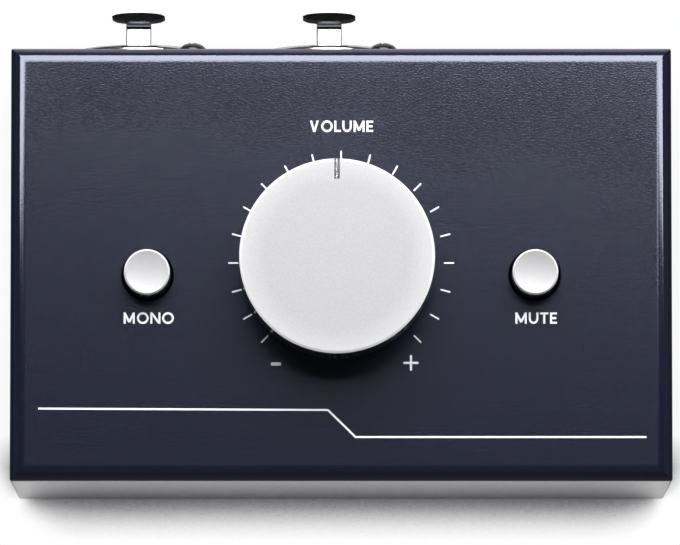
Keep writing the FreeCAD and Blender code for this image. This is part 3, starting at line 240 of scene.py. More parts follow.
def soften(thing, width, segments=2, angle=0.6):
    """Round every edge that is sharper than the angle."""
    activate(thing)
    rim = thing.modifiers.new("rim", "BEVEL")
    rim.width = width
    rim.segments = segments
    rim.limit_method = "ANGLE"
    rim.angle_limit = angle
    rim.use_clamp_overlap = True
    rim.harden_normals = False
    bpy.ops.object.modifier_apply(modifier="rim")


def join(name, pieces):
    """Make several pieces one object, without joining their surfaces."""
    activate(pieces[0])
    for piece in pieces:
        piece.select_set(True)
    bpy.ops.object.join()
    made = bpy.context.object
    made.name = name
    return made


def finish(thing, name, material, body_name, replaced=(), angle=35.0):
    """Dress a piece, smooth its shading, hang it on the body that it rides on, and hide the construction
    parts that it stands for.
    """
    thing.name = name
    thing.data.materials.clear()
    thing.data.materials.append(material)
    activate(thing)
    bpy.ops.object.mode_set(mode="EDIT")
    bpy.ops.mesh.select_all(action="SELECT")
    bpy.ops.mesh.normals_make_consistent(inside=False)
    leave_edit()
    bpy.ops.object.shade_smooth_by_angle(angle=math.radians(angle))
    normals = thing.modifiers.new("normals", "WEIGHTED_NORMAL")
    normals.keep_sharp = True
    bpy.ops.object.modifier_apply(modifier="normals")
    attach(thing, body_name)
    if replaced:
        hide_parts(*replaced)


# Materials. Every one is procedural and reads the piece's own coordinates.

class Nodes:
    """Short-hand for building one shader tree."""

    def __init__(self, name):
        self.material = bpy.data.materials.new(name)
        self.material.use_nodes = True
        self.tree = self.material.node_tree
        self.shader = self.tree.nodes["Principled BSDF"]
        self.output = self.tree.nodes["Material Output"]

    def add(self, kind, **settings):
        node = self.tree.nodes.new(kind)
        for key, value in settings.items():
            setattr(node, key, value)
        return node

    def link(self, start, end):
        self.tree.links.new(start, end)

    def coordinates(self, scale=(1, 1, 1)):
        source = self.add("ShaderNodeTexCoord")
        mapping = self.add("ShaderNodeMapping")
        mapping.inputs["Scale"].default_value = scale
        self.link(source.outputs["Object"], mapping.inputs["Vector"])
        return mapping.outputs["Vector"]

    def noise(self, vector, scale, detail=3.0):
        node = self.add("ShaderNodeTexNoise")
        node.inputs["Scale"].default_value = scale
        node.inputs["Detail"].default_value = detail
        self.link(vector, node.inputs["Vector"])
        return node.outputs["Fac"]

    def ramp(self, value, low, high, start, end):
        node = self.add("ShaderNodeMapRange")
        node.inputs["From Min"].default_value = low
        node.inputs["From Max"].default_value = high
        node.inputs["To Min"].default_value = start
        node.inputs["To Max"].default_value = end
        self.link(value, node.inputs["Value"])
        return node.outputs["Result"]

    def mix_colour(self, factor, first, second):
        node = self.add("ShaderNodeMix", data_type="RGBA")
        sockets = {socket.identifier: socket for socket in node.inputs}
        sockets["A_Color"].default_value = (*first, 1)
        sockets["B_Color"].default_value = (*second, 1)
        self.link(factor, sockets["Factor_Float"])
        outputs = {socket.identifier: socket for socket in node.outputs}
        return outputs["Result_Color"]

    def maths(self, operation, *values):
        """A Math node whose inputs are numbers or the outputs of other nodes."""
        node = self.add("ShaderNodeMath", operation=operation)
        for socket, value in zip(node.inputs, values):
            if isinstance(value, float):
                socket.default_value = value
            else:
                self.link(value, socket)
        return node.outputs["Value"]

    def bump(self, height, strength, distance):
        node = self.add("ShaderNodeBump")
        node.inputs["Strength"].default_value = strength
        node.inputs["Distance"].default_value = distance
        self.link(height, node.inputs["Height"])
        return node.outputs["Normal"]


def speckle_group():
    """Fine handling marks and dust: a mask from two noises, one coarse and one fine."""
    group = bpy.data.node_groups.new("fine_wear", "ShaderNodeTree")
    group.interface.new_socket("Vector", in_out="INPUT", socket_type="NodeSocketVector")
    group.interface.new_socket("Mask", in_out="OUTPUT", socket_type="NodeSocketFloat")
    inside = group.nodes.new("NodeGroupInput")
    outside = group.nodes.new("NodeGroupOutput")
    product = group.nodes.new("ShaderNodeMath")
    product.operation = "MULTIPLY"
    links = group.links
    for index, (scale, detail) in enumerate(((90.0, 2.0), (1400.0, 4.0))):
        noise = group.nodes.new("ShaderNodeTexNoise")
        noise.inputs["Scale"].default_value = scale
        noise.inputs["Detail"].default_value = detail
        links.new(inside.outputs["Vector"], noise.inputs["Vector"])
        links.new(noise.outputs["Fac"], product.inputs[index])
    spread = group.nodes.new("ShaderNodeMapRange")
    spread.inputs["From Min"].default_value = 0.15
    spread.inputs["From Max"].default_value = 0.4
    links.new(product.outputs["Value"], spread.inputs["Value"])
    links.new(spread.outputs["Result"], outside.inputs["Mask"])
    return group


FINE_WEAR = speckle_group()


def worn(nodes, vector, base, varied, low, high):
    """Use the shared wear mask for a slight change of colour and of roughness, from low to high."""
    wear = nodes.add("ShaderNodeGroup", node_tree=FINE_WEAR)
    nodes.link(vector, wear.inputs["Vector"])
    mask = wear.outputs["Mask"]
    nodes.link(nodes.mix_colour(mask, base, varied), nodes.shader.inputs["Base Color"])
    nodes.link(nodes.ramp(mask, 0.0, 1.0, low, high), nodes.shader.inputs["Roughness"])


def painted_case():
    """Navy-black powder coat with a fine leathery grain that runs along the case."""
    nodes = Nodes("painted_case")
    grain = nodes.noise(nodes.coordinates((2500.0, 4000.0, 4000.0)), 1.0, 2.0)
    speck = nodes.noise(nodes.coordinates(), 3200.0, 2.0)
    relief = nodes.maths("MULTIPLY_ADD", speck, 0.3, grain)
    shade = nodes.ramp(grain, 0.3, 0.7, 0.0, 1.0)
    colour = nodes.mix_colour(shade, (0.0060, 0.0072, 0.0175), (0.0080, 0.0096, 0.0225))
    nodes.link(colour, nodes.shader.inputs["Base Color"])
    nodes.link(nodes.ramp(grain, 0.3, 0.7, 0.14, 0.19), nodes.shader.inputs["Roughness"])
    nodes.link(nodes.bump(relief, 0.35, 0.000052), nodes.shader.inputs["Normal"])
    nodes.shader.inputs["IOR"].default_value = 1.85
    nodes.shader.inputs["Specular Tint"].default_value = (0.80, 0.84, 1.0, 1)
    return nodes.material


def metal(name, colour, varied, low, high, bump=0.0, scale=1500.0, share=1.0):
    """A metal with fine wear; a share below 1 keeps it light where it mirrors nothing bright."""
    nodes = Nodes(name)
    vector = nodes.coordinates()
    worn(nodes, vector, colour, varied, low, high)
    nodes.shader.inputs["Metallic"].default_value = share
    if bump:
        nodes.link(nodes.bump(nodes.noise(vector, scale), 0.6, bump), nodes.shader.inputs["Normal"])
    return nodes.material


def plastic(name, colour, varied, low, high, bump=0.0, coat=0.0):
    """A plastic, rubber or ink with fine wear, grained by a bump or glossy by a coat."""
    nodes = Nodes(name)
    vector = nodes.coordinates()
    worn(nodes, vector, colour, varied, low, high)
    nodes.shader.inputs["Coat Weight"].default_value = coat
    if bump:
        nodes.link(nodes.bump(nodes.noise(vector, 1200.0), 0.5, bump), nodes.shader.inputs["Normal"])
    return nodes.material


def knob_metal():
    """Bead-blasted aluminium with a painted highlight: its colour is a little lighter towards the rim."""
    nodes = Nodes("knob_metal")
    vector = nodes.coordinates()
    from_middle = nodes.add("ShaderNodeVectorMath", operation="DISTANCE")
    nodes.link(vector, from_middle.inputs[0])
    from_middle.inputs[1].default_value = (KNOB_X, CASE_MIDDLE_Y, KNOB_TOP_Z)
    # Painted highlight: the colour lightens from 12.5 mm out to the rim, where the face catches the light.
    rim = nodes.ramp(from_middle.outputs["Value"], 12.5 * MM, 16.8 * MM, 0.0, 1.0)
    light = nodes.maths("ADD", rim, nodes.noise(vector, 2600.0, 2.0))
    shade = nodes.ramp(light, 0.2, 1.5, 0.0, 1.0)
    colour = nodes.mix_colour(shade, (0.38, 0.378, 0.387), (0.50, 0.498, 0.51))
    nodes.link(colour, nodes.shader.inputs["Base Color"])
    blasting = nodes.noise(vector, 900.0, 2.0)
    nodes.link(nodes.ramp(blasting, 0.3, 0.7, 0.36, 0.41), nodes.shader.inputs["Roughness"])
    nodes.shader.inputs["Metallic"].default_value = 0.35
    grain = nodes.noise(vector, 5200.0, 2.0)
    nodes.link(nodes.bump(grain, 0.35, 0.00003), nodes.shader.inputs["Normal"])
    return nodes.material


MATERIALS = {
    "painted_case": painted_case(),
    "knob_aluminium": knob_metal(),
    # A near-white non-metal on the chamfers of the knob and the caps: a painted highlight where the metal
    # catches the light.
    "chamfer_highlight": plastic("chamfer_highlight", (0.84, 0.84, 0.85), (0.78, 0.78, 0.79), 0.30, 0.38),
    "turned_side": metal("turned_side", (0.66, 0.66, 0.68), (0.60, 0.60, 0.62), 0.20, 0.28),
    "cap_metal": metal("cap_metal", (0.42, 0.42, 0.43), (0.45, 0.45, 0.46), 0.37, 0.42, 0.00001,
                       scale=3200.0, share=0.5),
    "lever_chrome": metal("lever_chrome", (0.86, 0.87, 0.88), (0.80, 0.81, 0.82), 0.24, 0.32),
    # A dark copy of the lever chrome for the thumb plate, the web and the stem's sides: a painted dark
    # reflection.
    "lever_dark_reflection": metal("lever_dark_reflection", (0.26, 0.26, 0.27), (0.22, 0.22, 0.23), 0.04, 0.07),
    "nickel": metal("nickel", (0.64, 0.63, 0.61), (0.57, 0.56, 0.54), 0.14, 0.22, 0.00001),
    "screw_black": plastic("screw_black", (0.010, 0.010, 0.012), (0.016, 0.016, 0.018), 0.16, 0.24),
    "zinc_steel": metal("zinc_steel", (0.60, 0.61, 0.63), (0.48, 0.49, 0.50), 0.28, 0.42, 0.00001),
    "spring_steel": metal("spring_steel", (0.56, 0.56, 0.57), (0.45, 0.45, 0.46), 0.22, 0.34),
    "contact_brass": metal("contact_brass", (0.80, 0.62, 0.30), (0.70, 0.52, 0.24), 0.22, 0.34),
    "socket_plastic": plastic("socket_plastic", (0.014, 0.014, 0.016), (0.022, 0.022, 0.024), 0.42, 0.55,
                              0.00002),
    "jack_plastic": plastic("jack_plastic", (0.016, 0.016, 0.018), (0.026, 0.026, 0.028), 0.40, 0.52,
                            0.00002),
    "switch_plastic": plastic("switch_plastic", (0.05, 0.05, 0.06), (0.07, 0.07, 0.08), 0.45, 0.6, 0.00002),
    "plunger_plastic": plastic("plunger_plastic", (0.72, 0.72, 0.70), (0.66, 0.66, 0.64), 0.35, 0.45),
    "pot_plastic": plastic("pot_plastic", (0.30, 0.17, 0.08), (0.24, 0.13, 0.06), 0.45, 0.6, 0.00002),
    "insert_plastic": plastic("insert_plastic", (0.03, 0.03, 0.03), (0.045, 0.045, 0.045), 0.45, 0.58),
    "circuit_board": plastic("circuit_board", (0.012, 0.10, 0.035), (0.018, 0.13, 0.05), 0.25, 0.4,
                             coat=0.4),
    "chip_ceramic": plastic("chip_ceramic", (0.03, 0.03, 0.035), (0.05, 0.05, 0.055), 0.2, 0.3),
    "foot_rubber": plastic("foot_rubber", (0.018, 0.018, 0.018), (0.03, 0.03, 0.03), 0.6, 0.75, 0.00004),
    "print": plastic("print_white", (0.90, 0.90, 0.93), (0.84, 0.84, 0.88), 0.5, 0.62),
}


# The case.

def is_vertical(edge):
    """Whether an edge stands upright."""
    first, second = (vertex.co for vertex in edge.verts)
    return abs(first.x - second.x) < NEAR and abs(first.y - second.y) < NEAR


def folded_block(name, low, high, radius, segments, upright_radius):
    """A block whose four top edges are folds that meet at mitred corners."""
    made = block(name, low, high)
    bevel_where(made, is_vertical, upright_radius, 3)
    for axis in (0, 1):
        longer_low, longer_high = list(low), list(high)
        longer_low[axis] -= PAST
        longer_high[axis] += PAST
        run = block("run", longer_low, longer_high)

        def along_top(edge):
            first, second = (vertex.co for vertex in edge.verts)
            return min(first.z, second.z) > high[2] - NEAR and abs(first[axis] - second[axis]) > MM

        bevel_where(run, along_top, radius, segments)
        carve(made, run, "INTERSECT")
    return made


def cover_holes():
    """The tools that cut the cover's holes for the bushing, the caps, the inputs and the outputs."""
    low, high = PANEL_Z - PAST, PANEL_Z + PAST
    sink_low, sink_high = PANEL_Z - 0.2 * MM, PANEL_Z + 0.05 * MM
    tools = [cylinder("bushing_hole", 3.8 * MM, low, high, KNOB_X, CASE_MIDDLE_Y)]
    for hand in (-1, 1):
        tools.append(cylinder("cap_hole", CAP_HOLE_RADIUS, low, high, hand * BUTTON_X, BUTTON_Y, sides=96))
        sink = turned_piece("hole_edge", [(0, sink_low), (CAP_HOLE_RADIUS - 0.05 * MM, sink_low),
                                          (CAP_HOLE_RADIUS + 0.22 * MM, sink_high), (0, sink_high)])
        put(sink, hand * BUTTON_X, BUTTON_Y, 0)
        tools.append(sink)
    for side in SIDES:
        tool = cylinder("input_hole", 11.9 * MM, -PAST, PAST, sides=96)
        face_rear(tool, INPUT_X[side], REAR_Y, INPUT_Z)
        tools.append(tool)
        tool = cylinder("output_hole", 4.9 * MM, -PAST, PAST)
        face_rear(tool, OUTPUT_X[side], REAR_Y, OUTPUT_Z)
        tools.append(tool)
    return tools


def make_cover():
    """The folded steel cover: rounded top edges, open underside, side reliefs and all its holes."""
    low = (-CASE_HALF_X, FRONT_Y, CASE_FOOT_Z)
    high = (CASE_HALF_X, REAR_Y, PANEL_Z)
    cover = folded_block("top_cover_shell", low, high, 2.75 * MM, 12, 0.5 * MM)
    hollow = folded_block("hollow", (low[0] + SHEET, low[1] + SHEET, low[2] - PAST),
                          (high[0] - SHEET, high[1] - SHEET, high[2] - SHEET), 1.3 * MM, 6, 0.1 * MM)
    carve(cover, hollow)
    for tool in cover_holes():
        carve(cover, tool)
    for side in SIDES:
        for hand in (-1, 1):
            tool = cylinder("screw_hole", SCREW_HOLE_RADIUS, -PAST, PAST, hand * SOCKET_SCREW_X,
                            hand * -SOCKET_SCREW_Y, sides=48)
            face_rear(tool, INPUT_X[side], REAR_Y, INPUT_Z)
            carve(cover, tool)
    relief = block("side_relief", (-CASE_HALF_X - MM, CASE_MIDDLE_Y - RELIEF_HALF_Y, CASE_FOOT_Z - MM),
                   (CASE_HALF_X + MM, CASE_MIDDLE_Y + RELIEF_HALF_Y, CASE_FOOT_Z + 3.7 * MM))
    carve(cover, relief)
    soften(cover, 0.12 * MM, 2, 1.0)
    finish(cover, "top_cover_shell", MATERIALS["painted_case"], "case", ["top_cover"])


def make_lip(hand):
    """The folded edge that turns in under one side of the cover and carries the base plate's screws."""
    radius, width = 2.5 * MM, 11.0 * MM
    low = CASE_FOOT_Z + SHEET
    half = RELIEF_HALF_Y

    def outer_fold(edge):
        return all(vertex.co.x > -NEAR and vertex.co.z < NEAR for vertex in edge.verts)

    def inner_fold(edge):
        return all(vertex.co.x > -SHEET - NEAR and vertex.co.z < SHEET + NEAR for vertex in edge.verts)

    lip = block("lip", (-width, -half, 0), (0, half, radius))
    bevel_where(lip, outer_fold, radius - 0.01 * MM, 8)
    inside = block("lip_inside", (-width - MM, -half - MM, SHEET), (-SHEET, half + MM, radius + MM))
    bevel_where(inside, inner_fold, radius - SHEET, 6)
    carve(lip, inside)
    if hand < 0:
        lip.rotation_euler = (0, 0, math.pi)
        apply_place(lip)
    put(lip, hand * CASE_HALF_X, CASE_MIDDLE_Y, low)
    for end in (-1, 1):
        carve(lip, cylinder("screw_hole", SCREW_HOLE_RADIUS, low - MM, low + 3 * MM, hand * BASE_SCREW_X,
                            CASE_MIDDLE_Y + end * BASE_SCREW_Y, sides=48))
    name = "left_lip" if hand < 0 else "right_lip"
    finish(lip, name, MATERIALS["painted_case"], "case", ["top_cover"])


def cut_cross(screw, half_width, low, high, turn):
    """Cut a cross recess into a screw's head."""
    for arm_turn in (turn, turn + math.pi / 2):
        arm = block("recess", (-1.5 * MM, -half_width, low), (1.5 * MM, half_width, high))
        arm.rotation_euler = (0, 0, arm_turn)
        apply_place(arm)
        carve(screw, arm)


def make_base_plate():
    """The base plate and its four countersunk screws."""
    half_x, half_y = 56.0 * MM, 36.3 * MM
    plate = block("underside_plate", (-half_x, CASE_MIDDLE_Y - half_y, CASE_FOOT_Z),
                  (half_x, CASE_MIDDLE_Y + half_y, CASE_FOOT_Z + SHEET))
    bevel_where(plate, is_vertical, 2.5 * MM, 6)
    heads = []
    for hand in (-1, 1):
        for end in (-1, 1):
            x, y = hand * BASE_SCREW_X, CASE_MIDDLE_Y + end * BASE_SCREW_Y
            sink = turned_piece("sink", [(0, -MM), (2.55 * MM, -MM), (2.55 * MM, 0.001 * MM),
                                         (1.55 * MM, MM), (1.55 * MM, 3 * MM), (0, 3 * MM)], 48)
            put(sink, x, y, CASE_FOOT_Z)
            carve(plate, sink)
            head = turned_piece("base_screw", [(0, 0), (2.4 * MM, 0), (2.5 * MM, 0.08 * MM),
                                               (1.5 * MM, 1.05 * MM), (1.5 * MM, 6 * MM), (0, 6 * MM)], 48)
            cut_cross(head, 0.28 * MM, -MM, 0.7 * MM, 0.4)
            put(head, x, y, CASE_FOOT_Z)
            heads.append(head)
    soften(plate, 0.1 * MM, 1, 1.0)
    finish(plate, "underside_plate", MATERIALS["painted_case"], "case", ["base_plate"])
    screws = join("base_screw_heads", heads)
    finish(screws, "base_screw_heads", MATERIALS["screw_black"], "case", ["base_screws"])


def make_feet():
    """Four turned rubber feet with a rounded rim and a shallow hollow below."""
    rim = [((4.2 + 0.8 * math.sin(angle)) * MM, (0.8 - 0.8 * math.cos(angle)) * MM)
           for angle in quarter_turn()]
    rings = ([(0, 0.25 * MM), (1.6 * MM, 0.25 * MM), (1.85 * MM, 0)] + rim
             + [(4.8 * MM, CASE_FOOT_Z), (0, CASE_FOOT_Z)])
    for side, across in (("left", -1), ("right", 1)):
        for end, along in (("front", -1), ("rear", 1)):
            foot = turned_piece(f"{end}_{side}_foot", rings)
            put(foot, across * FOOT_X, CASE_MIDDLE_Y + along * FOOT_Y, 0)
            finish(foot, f"{end}_{side}_foot", MATERIALS["foot_rubber"], "case",
                   [f"foot_{end}_{side}"], 50)


# The turned controls.

def dress_edges(piece, chamfer_low, chamfer_high, least_radius, x, y):
    """Give the side of a control its own metal, and paint a highlight on its turned chamfer with a
    near-white non-metal.
    """
    piece.data.materials.append(MATERIALS["chamfer_highlight"])
    piece.data.materials.append(MATERIALS["turned_side"])
    for face in piece.data.polygons:
        reach = math.hypot(face.center.x - x, face.center.y - y)
        if chamfer_low < face.center.z < chamfer_high and reach > least_radius:
            face.material_index = 1
        elif abs(face.normal.z) < 0.5 and face.center.z <= chamfer_low and reach > least_radius:
            face.material_index = 2


def make_control_knob():
    """The volume knob: a turned disc with a narrow chamfer and a half-round index groove on its top."""
    radius, high = KNOB_RADIUS, KNOB_TOP_Z
    low = 46.3 * MM
    edge = 0.35 * MM
    bore = 8.2 * MM
    knob = turned_piece("control_knob", [
        (0, low + 4 * MM), (bore, low + 4 * MM), (bore, low), (radius - 0.3 * MM, low),
        (radius, low + 0.3 * MM), (radius, high - edge - 0.12 * MM), (radius - 0.03 * MM, high - edge),
        (radius - edge, high - 0.06 * MM), (radius - edge - 0.12 * MM, high), (3 * MM, high),
        (0, high)], 192)
    groove_radius = 0.5 * MM
    groove = cylinder("index", groove_radius, 0, 5 * MM, sides=32)
    groove.rotation_euler = (-math.pi / 2, 0, 0)
    groove.location = (0, radius - 3.6 * MM, high + 0.04 * MM)
    apply_place(groove)
    carve(knob, groove)
    put(knob, KNOB_X, CASE_MIDDLE_Y, 0)
    finish(knob, "control_knob", MATERIALS["knob_aluminium"], "volume_knob",
           ["volume_knob"], 25)
    below_top = high - 0.02 * MM
    # The chamfer gets a painted highlight in near-white; the side and the index groove take the turned
    # metal.
    dress_edges(knob, below_top - edge, below_top, radius - edge - 0.3 * MM, KNOB_X, CASE_MIDDLE_Y)
    for face in knob.data.polygons:
        place = face.center
        in_groove = abs(place.x - KNOB_X) < groove_radius and place.y > CASE_MIDDLE_Y
        if in_groove and high - MM < place.z < below_top:
            face.material_index = 2


def make_key(hand, name):
    """A turned cap with a shallow dished top, a chamfer with a painted highlight and a hollow that takes its
    return spring.
    """
    radius, high = CAP_RADIUS, CAP_TOP_Z
    low = 41.8 * MM
    edge = 0.32 * MM
    rim = radius - edge
    depth = 0.14 * MM
    dish = [(0, high - depth)]
    for step in range(1, 8):
        part = step / 8
        dish.append((rim * part, high - depth * (1 - part * part)))
    outside = [(rim, high), (radius - 0.04 * MM, high - edge), (radius, high - edge - 0.1 * MM),
               (radius, low)]
    inside = [(3.6 * MM, low), (3.6 * MM, low + 3.4 * MM), (2.2 * MM, low + 3.4 * MM),
              (2.2 * MM, high - 3 * MM), (0, high - 3 * MM)]
    cap = turned_piece(f"{name}_key", dish + outside + inside)
    put(cap, hand * BUTTON_X, BUTTON_Y, 0)
    finish(cap, f"{name}_key", MATERIALS["cap_metal"], f"{name}_button", [f"{name}_cap"], 25)
    # The chamfer gets a painted highlight in near-white, and the side takes the turned metal.
    dress_edges(cap, high - edge - 0.03 * MM, high - 0.1 * MM, rim + 0.02 * MM, hand * BUTTON_X, BUTTON_Y)


# Rear sockets, drawn with +Z out of the rear wall and +Y up, then turned to their place.
# A socket's three contacts sit on one circle, whose radius and places are in millimetres.

CONTACT_CIRCLE = 5.1
CONTACT_ANGLE = math.radians(61)
CONTACTS = [(-CONTACT_CIRCLE * math.sin(CONTACT_ANGLE), CONTACT_CIRCLE * math.cos(CONTACT_ANGLE)),
            (CONTACT_CIRCLE * math.sin(CONTACT_ANGLE), CONTACT_CIRCLE * math.cos(CONTACT_ANGLE)),
            (0.0, -CONTACT_CIRCLE)]
SHELL_BACK_Z = -16.4 * MM
PLUG_RADIUS = 3.25 * MM
LATCH_END = 5.9 * MM


def make_bezel(side):
    """The nickel shell of an input socket: a rounded bezel and its flange, slotted for the latch."""
    flange_back, flange_front = -2.8 * MM, -1.2 * MM
    rim = [((10.7 + 1.1 * math.cos(angle)) * MM, (0.7 + 1.1 * math.sin(angle)) * MM)
           for angle in quarter_turn()]
    bezel = turned_piece("bezel", [(9.6 * MM, SHELL_BACK_Z), (11.8 * MM, SHELL_BACK_Z)] + rim
                         + [(9.75 * MM, 1.8 * MM), (9.6 * MM, 1.65 * MM), (9.6 * MM, SHELL_BACK_Z)], 128)
    flange = block("flange", (-13 * MM, -15.5 * MM, flange_back), (13 * MM, 15.5 * MM, flange_front))
    bevel_where(flange, is_vertical, 3.0 * MM, 6)
    carve(flange, cylinder("flange_hole", 10.6 * MM, -PAST, PAST, sides=128))
    for hand in (-1, 1):
        carve(flange, cylinder("screw_hole", 1.55 * MM, -PAST, PAST, hand * -SOCKET_SCREW_X,
                               hand * SOCKET_SCREW_Y, sides=48))
    carve(bezel, flange, "UNION")
    carve(bezel, block("slot", (-2.4 * MM, 0, -12.3 * MM), (2.4 * MM, 11.1 * MM, 2.8 * MM)))
    face_rear(bezel, INPUT_X[side], REAR_Y, INPUT_Z)
    finish(bezel, f"{side}_bezel", MATERIALS["nickel"], "case", [f"{side}_input_shell"], 30)


def make_socket_core(side):
    """The black middle of an input socket: a bore for a plug and three contact sleeves round it."""
    front, groove_floor = 1.2 * MM, -14.8 * MM
    core = turned_piece("core", [
        (PLUG_RADIUS, SHELL_BACK_Z), (9.55 * MM, SHELL_BACK_Z), (9.55 * MM, groove_floor),
        (7.9 * MM, groove_floor), (7.9 * MM, 0.95 * MM), (7.65 * MM, front), (3.6 * MM, front),
        (PLUG_RADIUS, 0.85 * MM), (PLUG_RADIUS, SHELL_BACK_Z)], 128)
    for across, up in CONTACTS:
        carve(core, cylinder("contact_hole", 1.25 * MM, -12.0 * MM, 3 * MM, across * MM, up * MM, sides=48))
        carve(core, block("tail_hole", ((across - 0.4) * MM, (up - 0.4) * MM, -17 * MM),
                          ((across + 0.4) * MM, (up + 0.4) * MM, -11 * MM)))
    face_rear(core, INPUT_X[side], REAR_Y, INPUT_Z)
    finish(core, f"{side}_socket_core", MATERIALS["socket_plastic"], "case",
           [f"{side}_input_core"], 30)


def make_socket_screws():
    """The four domed screws that hold the input sockets."""
    dome = [(2.45 * math.cos(angle) * MM, (0.35 + 1.55 * math.sin(angle)) * MM)
            for angle in quarter_turn(6)]
    rings = ([(0, -6 * MM), (1.5 * MM, -6 * MM), (1.5 * MM, 0), (2.35 * MM, 0), (2.45 * MM, 0.12 * MM)]
             + dome + [(0, 1.9 * MM)])
    heads = []
    for side in SIDES:
        for hand in (-1, 1):
            screw = turned_piece("socket_screw", rings, 64)
            cut_cross(screw, 0.3 * MM, 0.9 * MM, 3 * MM, 0.3 + hand)
            put(screw, hand * -SOCKET_SCREW_X, hand * SOCKET_SCREW_Y, 0)
            face_rear(screw, INPUT_X[side], REAR_Y, INPUT_Z)
            heads.append(screw)
    screws = join("socket_screw_heads", heads)
    finish(screws, "socket_screw_heads", MATERIALS["screw_black"], "case",
           ["socket_screws"], 30)


def thumb_plate():
    """The bowed plate that a finger pushes, thickest on its middle line and thin at both ends."""
    half, middle, swell, tip = 4.6 * MM, 6.42 * MM, 0.68 * MM, 0.14 * MM
    plate = block("thumb_plate", (-half, 8.8 * MM, middle - tip), (half, 13.2 * MM, middle + tip))
    edit(plate)
    bpy.ops.mesh.select_all(action="SELECT")
    bpy.ops.mesh.subdivide(number_cuts=11)
    mesh = bmesh.from_edit_mesh(plate.data)
    for vertex in mesh.verts:
        face_of_plate = (vertex.co.z - middle) / tip
        part = vertex.co.x / half
        vertex.co.z += face_of_plate * swell * math.sqrt(max(0.0, 1 - part * part))
    bmesh.update_edit_mesh(plate.data)
    leave_edit()
    soften(plate, 0.12 * MM, 3, 0.9)
    return plate


def latch_stem():
    """The flat stem of a latch, with a web where the plate joins it and a sloped nose at its inner end."""
    half, low, high = 2.18 * MM, 9.6 * MM, 10.8 * MM
    inner_end, outer_end = -9.5 * MM, LATCH_END + 0.2 * MM
    web_size = 1.4 * MM

    def upper_long(edge):
        first, second = (vertex.co for vertex in edge.verts)
        return min(first.y, second.y) > high - NEAR and abs(first.x - second.x) < NEAR

    stem = block("stem", (-half, low, inner_end), (half, high, outer_end))
    bevel_where(stem, upper_long, 0.3 * MM, 3)
    web = block("web", (-half, high - 0.2 * MM, LATCH_END - web_size), (half, high + web_size, outer_end))
    hollow = cylinder("hollow", web_size, -4 * MM, 4 * MM)
    hollow.rotation_euler = (0, math.pi / 2, 0)
    hollow.location = (0, high + web_size, LATCH_END - web_size)
    apply_place(hollow)
    carve(web, hollow)
    nose = block("nose", (-half, low - 0.7 * MM, inner_end), (half, low + 0.1 * MM, -7.9 * MM))
    mesh = edit(nose)
    for vertex in mesh.verts:
        if vertex.co.z > -8 * MM and vertex.co.y < low:
            vertex.co.y = low + 0.05 * MM
    bmesh.update_edit_mesh(nose.data)
    leave_edit()
    carve(stem, web, "UNION")
    carve(stem, nose, "UNION")
    soften(stem, 0.06 * MM, 1, 0.9)
    return stem


def make_latch(side):
    """A release lever: a bowed thumb plate on a flat stem that runs into the bezel."""
    plate = thumb_plate()
    latch = latch_stem()
    carve(latch, plate, "UNION")
    face_rear(latch, INPUT_X[side], REAR_Y, INPUT_Z)
    finish(latch, f"{side}_latch", MATERIALS["lever_chrome"], f"{side}_lever",
           [f"{side}_release_lever"], 30)
    # The thumb plate, the web and every side face take the dark copy of the chrome: a painted dark
    # reflection.
    latch.data.materials.append(MATERIALS["lever_dark_reflection"])
    for face in latch.data.polygons:
        if face.center.y > REAR_Y + LATCH_END - 1.5 * MM or abs(face.normal.x) > 0.35:
            face.material_index = 1


def make_jack_body(side):
    """An output jack: a box behind the wall with a threaded nose, its bore and an open chamber."""
    body = block("jack_body", (-7.5 * MM, -7 * MM, -26.2 * MM), (7.5 * MM, 7 * MM, -1.2 * MM))
    soften(body, 0.3 * MM)
    thread = []
    for step in range(6):
        start = (-1.0 + 0.45 * step) * MM
        thread += [(5.4 * MM, start), (5.18 * MM, start + 0.22 * MM)]
    nose = turned_piece("nose", [(0, -2.4 * MM), (5.35 * MM, -2.4 * MM)] + thread
                        + [(5.3 * MM, 1.6 * MM), (5.1 * MM, 1.8 * MM), (0, 1.8 * MM)])
    carve(body, nose, "UNION")
    bore = turned_piece("bore", [(0, -11.5 * MM), (PLUG_RADIUS, -11.5 * MM), (PLUG_RADIUS, 1.4 * MM),
                                 (3.7 * MM, 1.85 * MM), (3.7 * MM, 3 * MM), (0, 3 * MM)])
    carve(body, bore)
    carve(body, block("chamber", (-5.5 * MM, -5 * MM, -28 * MM), (5.5 * MM, 5 * MM, -11 * MM)))
    face_rear(body, OUTPUT_X[side], REAR_Y, OUTPUT_Z)
    finish(body, f"{side}_jack_body", MATERIALS["jack_plastic"], "case",
           [f"{side}_output_jack"], 30)


def make_jack_nut(side):
    """The hexagon nut of an output jack, turned round at its outer corners, 14 mm across its flats."""
    half_flats = 7
    hexagon = math.radians(30)
    nut = cylinder("nut", half_flats / math.cos(hexagon) * MM, 0, 1.5 * MM, sides=6, turn=hexagon)
    dome = turned_piece("nut_dome", [(0, -MM), (7.6 * MM, -MM), (8.2 * MM, 0.2 * MM), (8.2 * MM, 1.0 * MM),
                                     (7.1 * MM, 1.51 * MM), (7.1 * MM, 1.6 * MM), (0, 1.6 * MM)])
    carve(nut, dome, "INTERSECT")
    carve(nut, turned_piece("nut_bore", [(0, -MM), (5.45 * MM, -MM), (5.45 * MM, 1.3 * MM),
                                         (5.7 * MM, 1.55 * MM), (5.7 * MM, 3 * MM), (0, 3 * MM)]))
    face_rear(nut, OUTPUT_X[side], REAR_Y, OUTPUT_Z)
    finish(nut, f"{side}_jack_nut", MATERIALS["nickel"], "case", [f"{side}_output_nut"], 30)


# Print on the panel, 0.03 mm thick, with places measured from the middle of the panel.

PRINT_LOW = PANEL_Z - 0.005 * MM
PRINT_HIGH = PANEL_Z + 0.03 * MM


